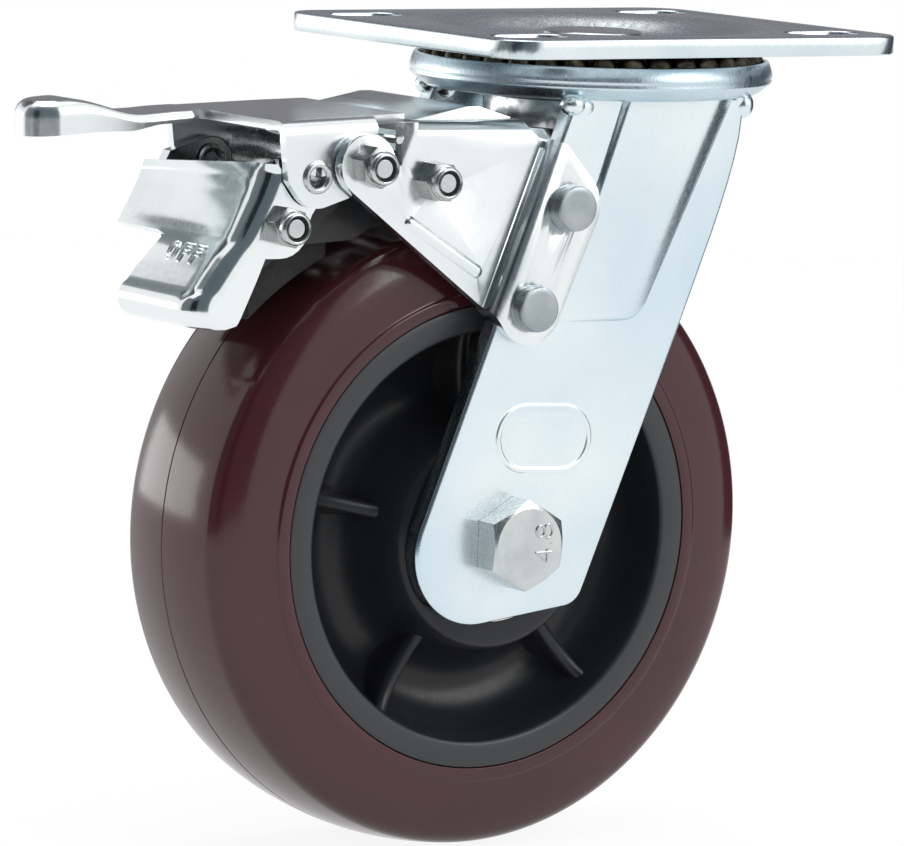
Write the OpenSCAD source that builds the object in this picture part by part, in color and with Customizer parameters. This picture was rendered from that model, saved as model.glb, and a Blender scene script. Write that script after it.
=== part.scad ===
// Swivel plate castor with a double pedal brake.
// Frame: the origin is on the plate's top face at the swivel axis, +Z is up, and the wheel
// trails towards -X, where the brake pedals are. Lengths are in millimetres.

/* [Mounting plate] */
// Plate length along X
plate_l = 114; // [106:1:124]
// Plate width along Y
plate_w = 102; // [96:1:112]
// Plate thickness
plate_t = 4.5; // [4:0.25:5]
// Radius of the plate's corners
plate_corner_r = 10; // [4:1:12]
// Bolt slot spacing along X
bolt_span_x = 84; // [80:1:88]
// Bolt slot spacing along Y
bolt_span_y = 71.5; // [69:0.5:76]
// Width of a bolt slot
slot_w = 11; // [9:0.5:12]
// Length of a bolt slot, end to end
slot_l = 20; // [16:0.5:22]
// Radius at which the pressed dish leaves the plate's top
dish_r = 42; // [40:0.5:44]
// Depth of the pressed dish
dish_depth = 5; // [4.6:0.1:5.4]

/* [Swivel head] */
// Outer radius of the fork crown
crown_r = 43.6; // [43.4:0.1:45]
// Thickness of the crown sheet
crown_t = 4.5; // [4:0.25:5]
// Diameter of the main bearing balls
main_ball_d = 6.35; // [6:0.05:6.5]
// Number of main bearing balls
main_balls_n = 36; // [24:1:37]
// Diameter of the lower bearing balls
lower_ball_d = 4.76; // [4.5:0.02:5]
// Number of lower bearing balls
lower_balls_n = 24; // [16:1:25]
// Pitch radius of the lower balls
lower_pitch_r = 20; // [19.5:0.1:21]
// Diameter of the kingpin shank
kingpin_d = 16; // [14:0.5:17]
// Diameter of the kingpin's upper head
kingpin_head_d = 24.6; // [22:0.2:27]
// Thickness of both kingpin heads
kingpin_head_t = 3.5; // [2.5:0.25:4]
// Thickness of the lower race cup
cup_t = 3; // [2.5:0.25:3.5]

/* [Fork] */
// Swivel offset, from the swivel axis to the axle
swivel_offset = 40; // [38:0.5:43]
// Clear width between the legs
fork_gap = 55; // [54:0.5:58]
// Thickness of a leg
leg_t = 5; // [4.5:0.25:5.5]
// Height from the tyre's top to the crown's underside
head_room = 27.2; // [26.8:0.2:30]
// Depth of the leg's pressed swelling, at the crown
swell_d = 8.5; // [7:0.25:9]
// Width of the leg's pressed swelling, at the crown
swell_w = 31; // [28:1:31]

/* [Wheel] */
// Diameter over the tread
wheel_d = 152; // [148:1:158]
// Width of the tyre at its bead
tyre_w = 46.8; // [44:0.2:48]
// Radius of the wheel core under the tyre
core_r = 55.3; // [54:0.1:57]
// Radial thickness of the core's rim
rim_t = 6; // [5:0.25:7]
// Thickness of the core's web
web_t = 8; // [6:0.5:10]
// Outer diameter of the hub boss
hub_d = 54; // [50:1:56]
// Number of ribs on each side
rib_n = 5; // [4:1:8]
// Thickness of a rib
rib_t = 3.5; // [2.5:0.25:4.5]
// Height of the ribs above the wheel's mid plane
rib_h = 17; // [14:0.5:20]

/* [Axle and bearings] */
// Diameter of the axle bolt
axle_d = 12; // [11:0.25:12.5]
// Width across flats of the axle bolt's head and nut
axle_af = 19; // [18:0.5:20]
// Height of the axle bolt's head
axle_head_h = 7.5; // [6.5:0.25:9]
// Outer diameter of the bush on the axle
bush_d = 17; // [16:0.25:17.5]
// Outer diameter of a wheel bearing
bearing_d = 40; // [38:0.5:42]
// Width of a wheel bearing
bearing_w = 12; // [11:0.5:13]
// Diameter of a wheel bearing's balls
bearing_ball_d = 6.4; // [6:0.1:6.8]
// Thickness of the thrust washers between the legs and the hub
washer_t = 1.5; // [1.2:0.1:2.5]

/* [Brake] */
// Thickness of the brake bracket
bracket_t = 3; // [2.5:0.25:3.25]
// Thickness of the pedal and of the lever
pedal_t = 2.5; // [2:0.25:2.75]
// Diameter of the brake's cross bolts
cross_bolt_d = 5; // [4:0.25:5.5]
// Diameter of the pivot sleeves on the cross bolts
sleeve_d = 9; // [8.5:0.25:9.5]
// Diameter of the eyelet rivets that join pedal and lever
eyelet_d = 5.2; // [4.8:0.2:5.6]
// Diameter of the bracket rivets
rivet_d = 8; // [7:0.25:9]
// Diameter of the bracket rivets' heads
rivet_head_d = 10.8; // [10:0.2:12]
// Width across flats of the lock nuts
nut_af = 8.5; // [8:0.25:9.5]
// Height of the lock nuts
nut_h = 7.5; // [6.5:0.5:8.5]
// Width of the brake shoe's pad
pad_w = 34; // [28:1:34]
// Wire diameter of the pedal spring
spring_wire_d = 1.8; // [1.5:0.1:2]

/* [Hidden] */

$fn = 48;
zinc = [0.80, 0.84, 0.87];
// gap: a running gap between turning pieces; seat: a gap between pieces held together
gap = 0.3;
seat = 0.05;
pin_gap = 0.1;
eps = 0.01;

// Swivel head stack, from the plate down
plate_under_z = -plate_t;
dish_floor_z = -dish_depth;
dish_under_z = -dish_depth - plate_t;
ball_r = main_ball_d / 2;
rim_in_r = crown_r - 2.1;
main_pitch_r = rim_in_r - ball_r - seat;
race_wall_r = main_pitch_r - ball_r - gap;
main_ball_z = plate_under_z - gap - 0.1 - ball_r;
crown_top_z = main_ball_z - ball_r - seat;
crown_under_z = crown_top_z - crown_t;
rim_top_z = main_ball_z + 0.5;
lower_ball_r = lower_ball_d / 2;
lower_ball_z = crown_under_z - seat - lower_ball_r;
cup_top_z = lower_ball_z - lower_ball_r - gap;
cup_under_z = cup_top_z - cup_t;
cup_lip_r = lower_pitch_r + lower_ball_r + gap;
cup_r = cup_lip_r + cup_t;

// Axle
wheel_r = wheel_d / 2;
axle_x = -swivel_offset;
tyre_top_z = crown_under_z - head_room;
axle_z = tyre_top_z - wheel_r;
axle = [axle_x, axle_z];

// Fork
leg_in_y = fork_gap / 2;
leg_out_y = leg_in_y + leg_t;
leg_top_z = crown_under_z + crown_t / 2;
leg_top_left = [-25.4, leg_top_z];
leg_top_right = [22.6, leg_top_z];
foot_left = axle + [-9.5, -2.2];
foot_left_r = 17;
foot_right = axle + [15, -10.3];
foot_right_r = 6;
swell_bottom_z = crown_under_z - 51;
swell_lean = (leg_top_z - swell_bottom_z) / (leg_top_z - axle_z);
swell_top_x = 4.3;
swell_bottom_x = swell_top_x + axle_x * swell_lean;
swell_bottom_w = swell_w - 6;
swell_bottom_d = 2.2;

// The leg's leading edge runs from its top corner, tangent to the foot
edge_run = foot_left - leg_top_left;
edge_angle = atan2(edge_run[1], edge_run[0]) - asin(foot_left_r / norm(edge_run));
edge_slope = cos(edge_angle) / sin(edge_angle);
function leg_edge_x(z) = leg_top_left[0] + (z - leg_top_left[1]) * edge_slope;
// The point at height z on the leading edge, moved by u across the edge, into the leg
function edge_point(z, u) = [leg_edge_x(z) - u * sin(edge_angle), z + u * cos(edge_angle)];

// Brake pivots, placed from the axle and the tyre's top
brake_datum = [axle_x, tyre_top_z];
pedal_pivot = brake_datum + [-41.5, 13];
eyelet = brake_datum + [-52.8, 10.3];
lever_pin = brake_datum + [-60.4, -0.9];
shoe_pivot = brake_datum + [-24.1, 9.3];
pedal_travel = 34;
lever_ratio = -1.227;
shoe_ratio = 0.233;
shoe_travel = pedal_travel * shoe_ratio;

// Brake bracket, folded over the fork gap and stepped out round the legs' edges
cheek_in_y = leg_in_y;
cheek_out_y = cheek_in_y + bracket_t;
flange_in_y = leg_out_y;
flange_out_y = flange_in_y + bracket_t;
bracket_top_z = crown_under_z - 4.4;
bracket_rear_x = axle_x + 1.5;
bracket_web_x = axle_x - 25.5;
cheek_notch_x = axle_x - 32.6;
cheek_round_r = 7.3;
step_top_z = bracket_top_z - 5.4;
step_bottom_z = bracket_top_z - 45.2;
upper_rivet = [leg_edge_x(bracket_top_z - 20) + 6.6, bracket_top_z - 20];
lower_rivet = [leg_edge_x(bracket_top_z - 43.3) + 6, bracket_top_z - 43.3];
flange_round_r = 9;
step_u = gap + bracket_t;
step_bend_r = 3;
cheek_edge_u = -7;
rivet_head_h = 4.4;
rivet_tail_h = 1.8;
rivet_tail_r = rivet_d / 2 + 1;

// Pedal, a channel inside the bracket's cheeks
pedal_out_y = cheek_in_y - 1;
pedal_in_y = pedal_out_y - pedal_t;
pedal_tilt = 1.9;
pedal_top_z = pedal_pivot[1] + 10.8;
pedal_under_z = pedal_top_z - pedal_t;
pedal_front_x = pedal_pivot[0] - 20;
pedal_rear_x = bracket_web_x - 1;
pedal_ear_x = pedal_pivot[0] + 5;
fold_r = 3.2;
tongue_y = 9.5;
tongue_neck_x = pedal_pivot[0] - 41;
tongue_tip_x = pedal_pivot[0] - 64.5;
tongue_crest_z = pedal_top_z + 4.2;
tongue_skirt_z = pedal_top_z - 3.6;
tongue_wall = 1.8;

// Lever, a channel inside the pedal's ears
lever_out_y = pedal_in_y - 0.4;
lever_in_y = lever_out_y - pedal_t;
panel_top = eyelet + [-10.2, 5.6];
panel_mid = eyelet + [-13.7, -4.5];
panel_bottom = eyelet + [-19.5, -14.8];
tread_bottom = eyelet + [-25, -24];
lip_centre = eyelet + [-26.9, -30.2];
lip_r = 4.5;
panel_slant = -0.05;
panel_far_y = pedal_out_y;
tread_far_y = tongue_y - 0.5;
lever_closed = 41.8;
relief_z = 9.9;
relief_x = pedal_front_x - eyelet[0] - 0.7;

// Shoe, a folded frame between the lever's walls
shoe_out_y = lever_in_y - 1.5;
shoe_in_y = shoe_out_y - pedal_t;
shoe_elbow = brake_datum + [-40, -0.6];
pad_t = 8;

// Cross bolt fits
bolt_r = cross_bolt_d / 2;
sleeve_r = sleeve_d / 2;
eyelet_r = eyelet_d / 2;
bolt_head_h = 4;
lever_pin_clear = 0.45;

// Wheel and bearings
tyre_bead_y = tyre_w / 2;
hub_y = leg_in_y - washer_t;
bearing_r = bearing_d / 2;
bearing_in_y = hub_y - bearing_w;
bush_r = bush_d / 2;
bearing_pitch_r = (bearing_r + bush_r) / 2;
bearing_ball_r = bearing_ball_d / 2;
bearing_mid_y = hub_y - bearing_w / 2;
bearing_balls_n = 8;
ring_t = (bearing_r - bush_r) / 2 - bearing_ball_r + 1.4;

function arc(centre, r, from, to, steps) =
    [for (i = [0:steps]) centre + r * [cos(from + (to - from) * i / steps),
                                       sin(from + (to - from) * i / steps)]];

// Extrudes an outline drawn in X and Z from y0 to y1
module slab(y0, y1) {
    translate([0, y1, 0]) rotate([90, 0, 0]) linear_extrude(y1 - y0) children();
}

// Puts an outline drawn about the origin at a point of the X and Z plane
module at(point) {
    translate([point[0], point[1]]) children();
}

module rod(point, r, y0, y1) {
    slab(y0, y1) at(point) circle(r);
}

module both_sides() {
    children();
    mirror([0, 1, 0]) children();
}

module rounded_rect(l, w, r) {
    square([l - 2 * r, w], center = true);
    square([l, w - 2 * r], center = true);
    for (sx = [-1, 1], sy = [-1, 1]) translate([sx * (l / 2 - r), sy * (w / 2 - r)]) circle(r);
}

// Turns an outline drawn as radius and height about the axle
module on_axle() {
    translate([axle_x, 0, axle_z]) rotate([90, 0, 0]) children();
}

module hexagon(af) {
    circle(r = af / 2 / cos(30), $fn = 6);
}

// Mounting plate: pressed sheet with a dish whose wall is the upper ball race
module bolt_slot() {
    run = slot_l - slot_w;
    square([run, slot_w], center = true);
    for (s = [-1, 1]) translate([s * run / 2, 0]) circle(slot_w / 2);
}

module mounting_plate() {
    color(zinc) difference() {
        union() {
            translate([0, 0, plate_under_z]) linear_extrude(plate_t) difference() {
                rounded_rect(plate_l, plate_w, plate_corner_r);
                for (sx = [-1, 1], sy = [-1, 1])
                    translate([sx * bolt_span_x / 2, sy * bolt_span_y / 2]) bolt_slot();
            }
            rotate_extrude() polygon([[0, plate_under_z + eps], [race_wall_r + 1.4, plate_under_z + eps],
                [race_wall_r + 1.4, plate_under_z], [race_wall_r, plate_under_z - 1.6],
                [race_wall_r, dish_under_z + 0.8], [race_wall_r - 0.8, dish_under_z], [0, dish_under_z]]);
        }
        rotate_extrude() polygon(concat([[0, eps], [dish_r, eps]], dish_slope(),
            [[0, dish_floor_z]]));
        cylinder(r = kingpin_d / 2 + seat, h = 4 * plate_t + 2 * dish_depth, center = true);
    }
}

// Half a cosine wave, from the dish's rim down to its floor
function dish_slope() = [for (i = [0:8])
    [dish_r - (dish_r - race_wall_r + 5) * i / 8, dish_floor_z * (1 - cos(180 * i / 8)) / 2]];

// Kingpin: one rivet that hangs the fork from the plate
module kingpin() {
    shank_r = kingpin_d / 2;
    head_r = kingpin_head_d / 2;
    color(zinc) rotate_extrude() polygon([[0, cup_under_z - kingpin_head_t],
        [head_r - 2, cup_under_z - kingpin_head_t], [head_r - 0.5, cup_under_z - 1], [head_r - 0.5, cup_under_z],
        [shank_r, cup_under_z], [shank_r, dish_floor_z], [head_r, dish_floor_z],
        [head_r, dish_floor_z + kingpin_head_t - 0.8], [head_r - 0.8, dish_floor_z + kingpin_head_t],
        [0, dish_floor_z + kingpin_head_t]]);
}

module lower_race_cup() {
    lip_z = crown_under_z - 1.2;
    color("gray") rotate_extrude() polygon([[kingpin_d / 2 + seat, cup_under_z], [cup_r, cup_under_z],
        [cup_r, lip_z], [cup_lip_r, lip_z], [cup_lip_r, cup_top_z], [kingpin_d / 2 + seat, cup_top_z]]);
}

module ball_ring(pitch_r, z, r, n) {
    for (i = [0:n - 1]) rotate([0, 0, 360 * i / n]) translate([pitch_r, 0, z]) sphere(r);
}

module main_balls() {
    color("silver") ball_ring(main_pitch_r, main_ball_z, ball_r, main_balls_n);
}

module lower_balls() {
    color("silver") ball_ring(lower_pitch_r, lower_ball_z, lower_ball_r, lower_balls_n);
}

// Fork: crown and legs pressed from one sheet
module crown() {
    rotate_extrude() polygon([[kingpin_d / 2 + gap, crown_under_z], [crown_r - 4.4, crown_under_z],
        [crown_r - 2.2, crown_under_z + 1.8], [crown_r - 0.4, crown_top_z - 1.2],
        [crown_r, crown_top_z + 0.4], [crown_r - 1, rim_top_z], [rim_in_r, rim_top_z],
        [rim_in_r, crown_top_z], [kingpin_d / 2 + gap, crown_top_z]]);
}

module leg_outline() {
    bow = leg_top_right - [2, 16.5];
    knee = leg_top_right + [-15.6, -53.5];
    hull() {
        polygon([leg_top_left, leg_top_right, bow, knee]);
        at(foot_left) circle(foot_left_r);
        at(foot_right) circle(foot_right_r, $fn = 32);
    }
}

// Half an ellipse that bulges towards -Y
module half_ellipse(w, d) {
    polygon([for (i = [0:16]) [w / 2 * cos(180 * i / 16), -d * sin(180 * i / 16)]]);
}

module swelling(face_y, inset) {
    hull() {
        translate([swell_top_x, -face_y, leg_top_z])
            linear_extrude(eps) half_ellipse(swell_w - inset, swell_d);
        translate([swell_bottom_x, -face_y, swell_bottom_z + inset / 2])
            linear_extrude(eps) half_ellipse(swell_bottom_w - inset, swell_bottom_d);
    }
}

module leg() {
    difference() {
        union() {
            slab(-leg_out_y, -leg_in_y) leg_outline();
            swelling(leg_out_y - eps, 0);
            for (corner = [leg_top_left + [-0.6, -3.2], leg_top_right + [0.2, -3.2]])
                translate([corner[0], -leg_out_y + 1.5, corner[1]]) sphere(3.4);
        }
        swelling(leg_in_y - eps, 9);
        rod(axle, axle_d / 2 + pin_gap, -leg_out_y - eps, -leg_in_y + eps);
        for (p = [upper_rivet, lower_rivet]) rod(p, rivet_d / 2 + seat, -leg_out_y - eps, -leg_in_y + eps);
    }
}

module fork() {
    color(zinc) union() {
        crown();
        both_sides() leg();
    }
}

// Brake bracket: each side is one outline, pressed to a cheek, a rounded step and a flange
module cheek_outline() {
    difference() {
        union() {
            at(pedal_pivot) circle(cheek_round_r);
            polygon([[cheek_notch_x, bracket_top_z], [bracket_rear_x, bracket_top_z],
                edge_point(step_top_z + 2, cheek_edge_u), edge_point(step_top_z, 1 - step_u),
                edge_point(step_bottom_z, 1 - step_u),
                pedal_pivot + cheek_round_r * [cos(235), sin(235)], pedal_pivot,
                [cheek_notch_x, pedal_pivot[1]]]);
        }
        at([bracket_rear_x + 7, bracket_top_z + 2.6]) circle(7.4);
    }
}

module flange_outline() {
    hull() {
        at(upper_rivet) circle(flange_round_r);
        at(lower_rivet) circle(flange_round_r - 0.3);
        polygon([edge_point(step_top_z, -step_u), edge_point(step_bottom_z, -step_u),
            edge_point(step_bottom_z, 0), edge_point(step_top_z, 0)]);
    }
}

// The sheet in section across the leg's edge
module step_section() {
    outer = arc([-flange_out_y + step_bend_r, step_bend_r - step_u], step_bend_r, 270, 180, 6);
    inner = arc([-cheek_in_y - step_bend_r, -gap - step_bend_r], step_bend_r, 90, 0, 6);
    far = 3 * flange_round_r;
    polygon(concat([[-cheek_out_y, -3 * far], [-cheek_out_y, -step_u - 1], [-cheek_out_y - 1, -step_u]],
        outer, [[-flange_out_y, far], [-flange_in_y, far], [-flange_in_y, -gap]], inner,
        [[-cheek_in_y, -3 * far]]));
}

module stepped_side() {
    intersection() {
        translate([leg_top_left[0], 0, leg_top_left[1]]) rotate([0, -edge_angle, 0]) rotate([90, 0, 90])
            translate([0, 0, -2 * fold_r]) linear_extrude(90) step_section();
        slab(-flange_out_y - 1, -cheek_in_y + 1) {
            cheek_outline();
            flange_outline();
        }
    }
}

// A channel open downwards, running along X, with round folds
module channel(x0, x1, out_y, wall, top_z, h) {
    translate([x0, 0, top_z]) rotate([90, 0, 90]) linear_extrude(x1 - x0) difference() {
        channel_section(out_y, fold_r, h);
        translate([0, -wall]) channel_section(out_y - wall, fold_r - wall / 2, h);
    }
}

module channel_section(half_w, r, h) {
    translate([-half_w, -h]) square([2 * half_w, h - r]);
    translate([-half_w + r, -r - eps]) square([2 * (half_w - r), r + eps]);
    for (s = [-1, 1]) translate([s * (half_w - r), -r]) circle(r);
}

module bracket_rib() {
    start = pedal_pivot + [11.7, -13.4];
    finish = start + [18.6, -11.7];
    run = finish - start;
    translate([start[0], -cheek_out_y + 1, start[1]]) rotate([0, -atan2(run[1], run[0]), 0]) {
        rotate([0, 90, 0]) cylinder(r = 1.9, h = norm(run));
        sphere(1.9);
        translate([norm(run), 0, 0]) sphere(1.9);
    }
}

// The web is pressed up into a low ridge between the cheeks
module web_ridge() {
    peak_x = axle_x - 9;
    slab(-leg_in_y + 4 - eps, leg_in_y - 4 + eps)
        polygon([[bracket_web_x, bracket_top_z - bracket_t], [bracket_web_x, bracket_top_z],
            [peak_x - 1.5, bracket_top_z + 2.9], [peak_x + 1.5, bracket_top_z + 2.9],
            [bracket_rear_x, bracket_top_z + 0.2], [bracket_rear_x, bracket_top_z - bracket_t],
            [bracket_rear_x - 6, bracket_top_z - bracket_t], [peak_x, bracket_top_z + 2.9 - bracket_t],
            [bracket_web_x + 6, bracket_top_z - bracket_t]]);
}

module brake_bracket() {
    fold_x = bracket_web_x - 3;
    right_x = bracket_rear_x + 12;
    color(zinc) difference() {
        union() {
            difference() {
                intersection() {
                    channel(fold_x, right_x, cheek_out_y, bracket_t, bracket_top_z, 2 * fold_r);
                    slab(-cheek_out_y - 1, cheek_out_y + 1) cheek_outline();
                }
                translate([fold_x - 1, -cheek_in_y, bracket_top_z - fold_r - 1])
                    cube([bracket_web_x - fold_x + 1, 2 * cheek_in_y, fold_r + 2]);
                slab(-leg_in_y + 4, leg_in_y - 4) polygon([[bracket_web_x - 1, bracket_top_z + 1],
                    [bracket_rear_x + 1, bracket_top_z + 1], [bracket_rear_x + 1, bracket_top_z - 4],
                    [bracket_web_x - 1, bracket_top_z - 4]]);
            }
            web_ridge();
            both_sides() {
                difference() {
                    stepped_side();
                    translate([fold_x, -cheek_out_y - 1, bracket_top_z - 2 * fold_r])
                        cube([right_x - fold_x, bracket_t + 2, 3 * fold_r]);
                }
                bracket_rib();
            }
        }
        for (p = [pedal_pivot, shoe_pivot]) rod(p, bolt_r + seat, -cheek_out_y - 1, cheek_out_y + 1);
        both_sides() for (p = [upper_rivet, lower_rivet])
            rod(p, rivet_d / 2 + seat, -flange_out_y - 1, -flange_in_y + 1);
    }
}

module rivet(p) {
    rod(p, rivet_d / 2, -flange_out_y, -leg_in_y);
    rod(p, rivet_head_d / 2 + 0.2, -flange_out_y - 1.4, -flange_out_y);
    rod(p, rivet_head_d / 2, -flange_out_y - rivet_head_h, -flange_out_y - 1.4);
    rod(p, rivet_tail_r, -leg_in_y, -leg_in_y + rivet_tail_h);
}

module bracket_rivets() {
    color("gray") both_sides() for (p = [upper_rivet, lower_rivet]) rivet(p);
}

// Cross bolts: a sleeve between the cheeks, a hex bolt from the far side, a lock nut on the near side
module sleeve(p, half_l) {
    difference() {
        rod(p, sleeve_r, -half_l, half_l);
        rod(p, bolt_r + seat, -half_l - 1, half_l + 1);
    }
}

module cross_bolt(p, grip_y) {
    slab(grip_y, grip_y + bolt_head_h) at(p) hexagon(nut_af);
    rod(p, bolt_r, -grip_y - nut_h + 0.6, grip_y);
}

module lock_nut(p, grip_y) {
    collar_h = nut_h * 0.32;
    difference() {
        union() {
            slab(-grip_y - nut_h + collar_h, -grip_y) at(p) hexagon(nut_af);
            rod(p, nut_af / 2 - 0.4, -grip_y - nut_h, -grip_y - nut_h + collar_h);
        }
        rod(p, bolt_r + seat, -grip_y - nut_h - 1, -grip_y + 1);
    }
}

module pedal_sleeve() {
    color("silver") sleeve(pedal_pivot, cheek_in_y);
}

module pedal_bolt() {
    color("silver") cross_bolt(pedal_pivot, cheek_out_y);
}

module pedal_nut() {
    color("gray") lock_nut(pedal_pivot, cheek_out_y);
}

module shoe_sleeve() {
    color("silver") sleeve(shoe_pivot, cheek_in_y);
}

module shoe_bolt() {
    color("silver") cross_bolt(shoe_pivot, cheek_out_y);
}

module shoe_nut() {
    color("gray") lock_nut(shoe_pivot, cheek_out_y);
}

// Pedal spring: wire coiled round the pedal's sleeve, one end hooked in the near cheek's notch
coil_r = sleeve_r + 0.6 + spring_wire_d / 2;
coil_turns = 4;
coil_steps = 12;
coil_end_y = -lever_in_y + 5;
coil_pitch = spring_wire_d + 0.25;
hook = [cheek_notch_x - 1.5, pedal_pivot[1] + 5.9];
spring_path = concat(
    [[hook[0], -cheek_out_y - 1, hook[1]], [hook[0], -cheek_in_y + 0.5, hook[1]],
     [hook[0] - 0.8, coil_end_y - 1, hook[1] + 0.3]],
    [for (i = [0:coil_turns * coil_steps]) let (a = 90 + 360 * i / coil_steps)
        [pedal_pivot[0] + coil_r * cos(a), coil_end_y + coil_pitch * i / coil_steps,
         pedal_pivot[1] + coil_r * sin(a)]],
    [[pedal_pivot[0] - 5, coil_end_y + coil_pitch * coil_turns + 0.6, pedal_under_z - spring_wire_d / 2 - 1.4],
     [pedal_pivot[0] - 9, coil_end_y + coil_pitch * coil_turns + 0.8, pedal_under_z - spring_wire_d / 2 - gap]]);

function unit(v) = v / norm(v);
function tangent(path, i) = unit(path[min(i + 1, len(path) - 1)] - path[max(i - 1, 0)]);
function ring_points(path, i, r, sides) =
    let (t = tangent(path, i), side = unit(cross(t, abs(t[1]) > 0.8 ? [1, 0, 0.2] : [0, 1, 0])), up = cross(side, t))
    [for (k = [0:sides - 1]) path[i] + r * (cos(360 * k / sides) * side + sin(360 * k / sides) * up)];

module wire(path, r, sides) {
    n = len(path);
    polyhedron(
        points = [for (i = [0:n - 1]) each ring_points(path, i, r, sides)],
        faces = concat(
            [[for (k = [0:sides - 1]) k]],
            [for (i = [0:n - 2], k = [0:sides - 1])
                [i * sides + k, (i + 1) * sides + k, (i + 1) * sides + (k + 1) % sides, i * sides + (k + 1) % sides]],
            [[for (k = [sides - 1:-1:0]) (n - 1) * sides + k]]));
}

module pedal_spring() {
    color("dimgray") wire(spring_path, spring_wire_d / 2, 8);
}

// ON pedal: a folded channel with a curled tongue at its far corner, its tip tilted down a little
module pedal_lean() {
    translate([pedal_pivot[0], 0, pedal_pivot[1]]) rotate([0, -pedal_tilt, 0])
        translate([-pedal_pivot[0], 0, -pedal_pivot[1]]) children();
}

module pedal_ear_outline() {
    hull() {
        at(eyelet) circle(6.6);
        at(pedal_pivot) circle(6.5);
        polygon([[pedal_front_x, pedal_top_z], [pedal_ear_x, pedal_top_z],
            [pedal_ear_x, pedal_top_z - 6], [pedal_front_x + 1, pedal_top_z - 14]]);
    }
}

module tongue_solid(inset, floor_z) {
    tip_x = tongue_tip_x + inset;
    far_y = pedal_out_y - inset;
    near_y = tongue_y + inset;
    crest_z = tongue_crest_z - inset;
    hull() {
        translate([tongue_neck_x, near_y, floor_z])
            cube([eps, far_y - near_y, pedal_top_z - inset - floor_z]);
        translate([tip_x + 8, far_y - 8, crest_z - 3]) sphere(3, $fn = 32);
        translate([tip_x + 12, near_y + 4.5, crest_z - 3]) sphere(3, $fn = 32);
        translate([tip_x + 6, far_y - 6, floor_z]) cylinder(r = 6, h = crest_z - floor_z - 4.5, $fn = 32);
        translate([tip_x + 11, near_y + 5, floor_z]) cylinder(r = 5, h = crest_z - floor_z - 5, $fn = 32);
    }
}

module on_pedal() {
    color(zinc) difference() {
        pedal_lean() union() {
            intersection() {
                channel(pedal_front_x - 1, pedal_ear_x + 1, pedal_out_y, pedal_t, pedal_top_z, 30);
                slab(-pedal_out_y - 1, pedal_out_y + 1) pedal_ear_outline();
            }
            translate([pedal_ear_x - 1, -pedal_out_y + fold_r, pedal_under_z])
                cube([pedal_rear_x - pedal_ear_x + 1, 2 * (pedal_out_y - fold_r), pedal_t]);
            translate([0, 0, pedal_under_z]) linear_extrude(pedal_t)
                polygon([[pedal_front_x + 1, tongue_y - 6], [pedal_front_x + 1, pedal_out_y - fold_r],
                    [tongue_neck_x, pedal_out_y - 1], [tongue_neck_x - eps, tongue_y], [pedal_front_x - 3, tongue_y],
                    [pedal_front_x, tongue_y - 3]]);
            difference() {
                tongue_solid(0, tongue_skirt_z);
                tongue_solid(tongue_wall, tongue_skirt_z - eps);
            }
        }
        rod(pedal_pivot, sleeve_r + pin_gap, -pedal_out_y - 1, pedal_out_y + 1);
        rod(eyelet, eyelet_r + seat, -pedal_out_y - 1, pedal_out_y + 1);
    }
}

// Eyelet rivets: tubular rivets set through the pedal's ears and the lever's walls
module eyelet_rivet() {
    difference() {
        union() {
            rod(eyelet, eyelet_r, -pedal_out_y - 0.9, -lever_in_y + 0.9);
            rod(eyelet, eyelet_r + 1.1, -pedal_out_y - 0.9, -pedal_out_y);
            rod(eyelet, eyelet_r + 1.1, -lever_in_y + gap, -lever_in_y + 0.9 + gap);
        }
        rod(eyelet, eyelet_r - 0.8, -pedal_out_y - 2, -lever_in_y + 3);
    }
}

module eyelet_rivets() {
    color("gray") both_sides() eyelet_rivet();
}

// OFF lever: a front panel between two walls, with a tread and a rolled lip on the near half
module panel_section(with_tread) {
    back = [2.4, -0.9];
    front = [panel_top, panel_mid, panel_bottom];
    tread_front = concat([tread_bottom], arc(lip_centre, lip_r, 130, 285, 10));
    tread_back = concat(arc(lip_centre, lip_r - pedal_t, 285, 130, 10), [tread_bottom + [2, -1.5]]);
    polygon(with_tread
        ? concat(front, tread_front, tread_back, [panel_bottom + back, panel_mid + back, panel_top + back])
        : concat(front, [panel_bottom + back, panel_mid + back, panel_top + back]));
}

module wall_outline(lean) {
    hull() {
        at(eyelet) circle(5.6);
        at(lever_pin) circle(7);
        translate([lean, 0]) polygon([panel_top, panel_mid, panel_bottom, panel_bottom + [6, -0.5]]);
    }
}

// Slants the panel so that its far side stands forward
module slanted() {
    multmatrix([[1, panel_slant, 0, panel_slant * lever_out_y], [0, 1, 0, 0], [0, 0, 1, 0], [0, 0, 0, 1]])
        children();
}

module tread_wall_outline() {
    polygon([panel_bottom, lever_pin + [-3, -6.5], tread_bottom + [10.5, 0.5], lip_centre + [8.5, -3],
        lip_centre + [1, -lip_r], lip_centre + [-2, -1], tread_bottom]);
}

// Room for the pedal's plate and far ear, cut where they lie when the brake is on
module lever_relief() {
    translate([eyelet[0], 0, eyelet[1]]) rotate([0, -lever_closed, 0]) {
        translate([relief_x, -pedal_out_y - 1, relief_z]) cube([30, 2 * pedal_out_y + 2, 10]);
        translate([relief_x, lever_out_y + 0.1, -10]) cube([30, 6, 30]);
        translate([relief_x - 16, tongue_y - 8, relief_z - 0.3]) cube([30, 40, 10]);
        for (y = [-lever_out_y - 1, lever_out_y - 1.6])
            translate([relief_x, y, relief_z - 1.1]) cube([30, 2.6, 10]);
    }
}

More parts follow.
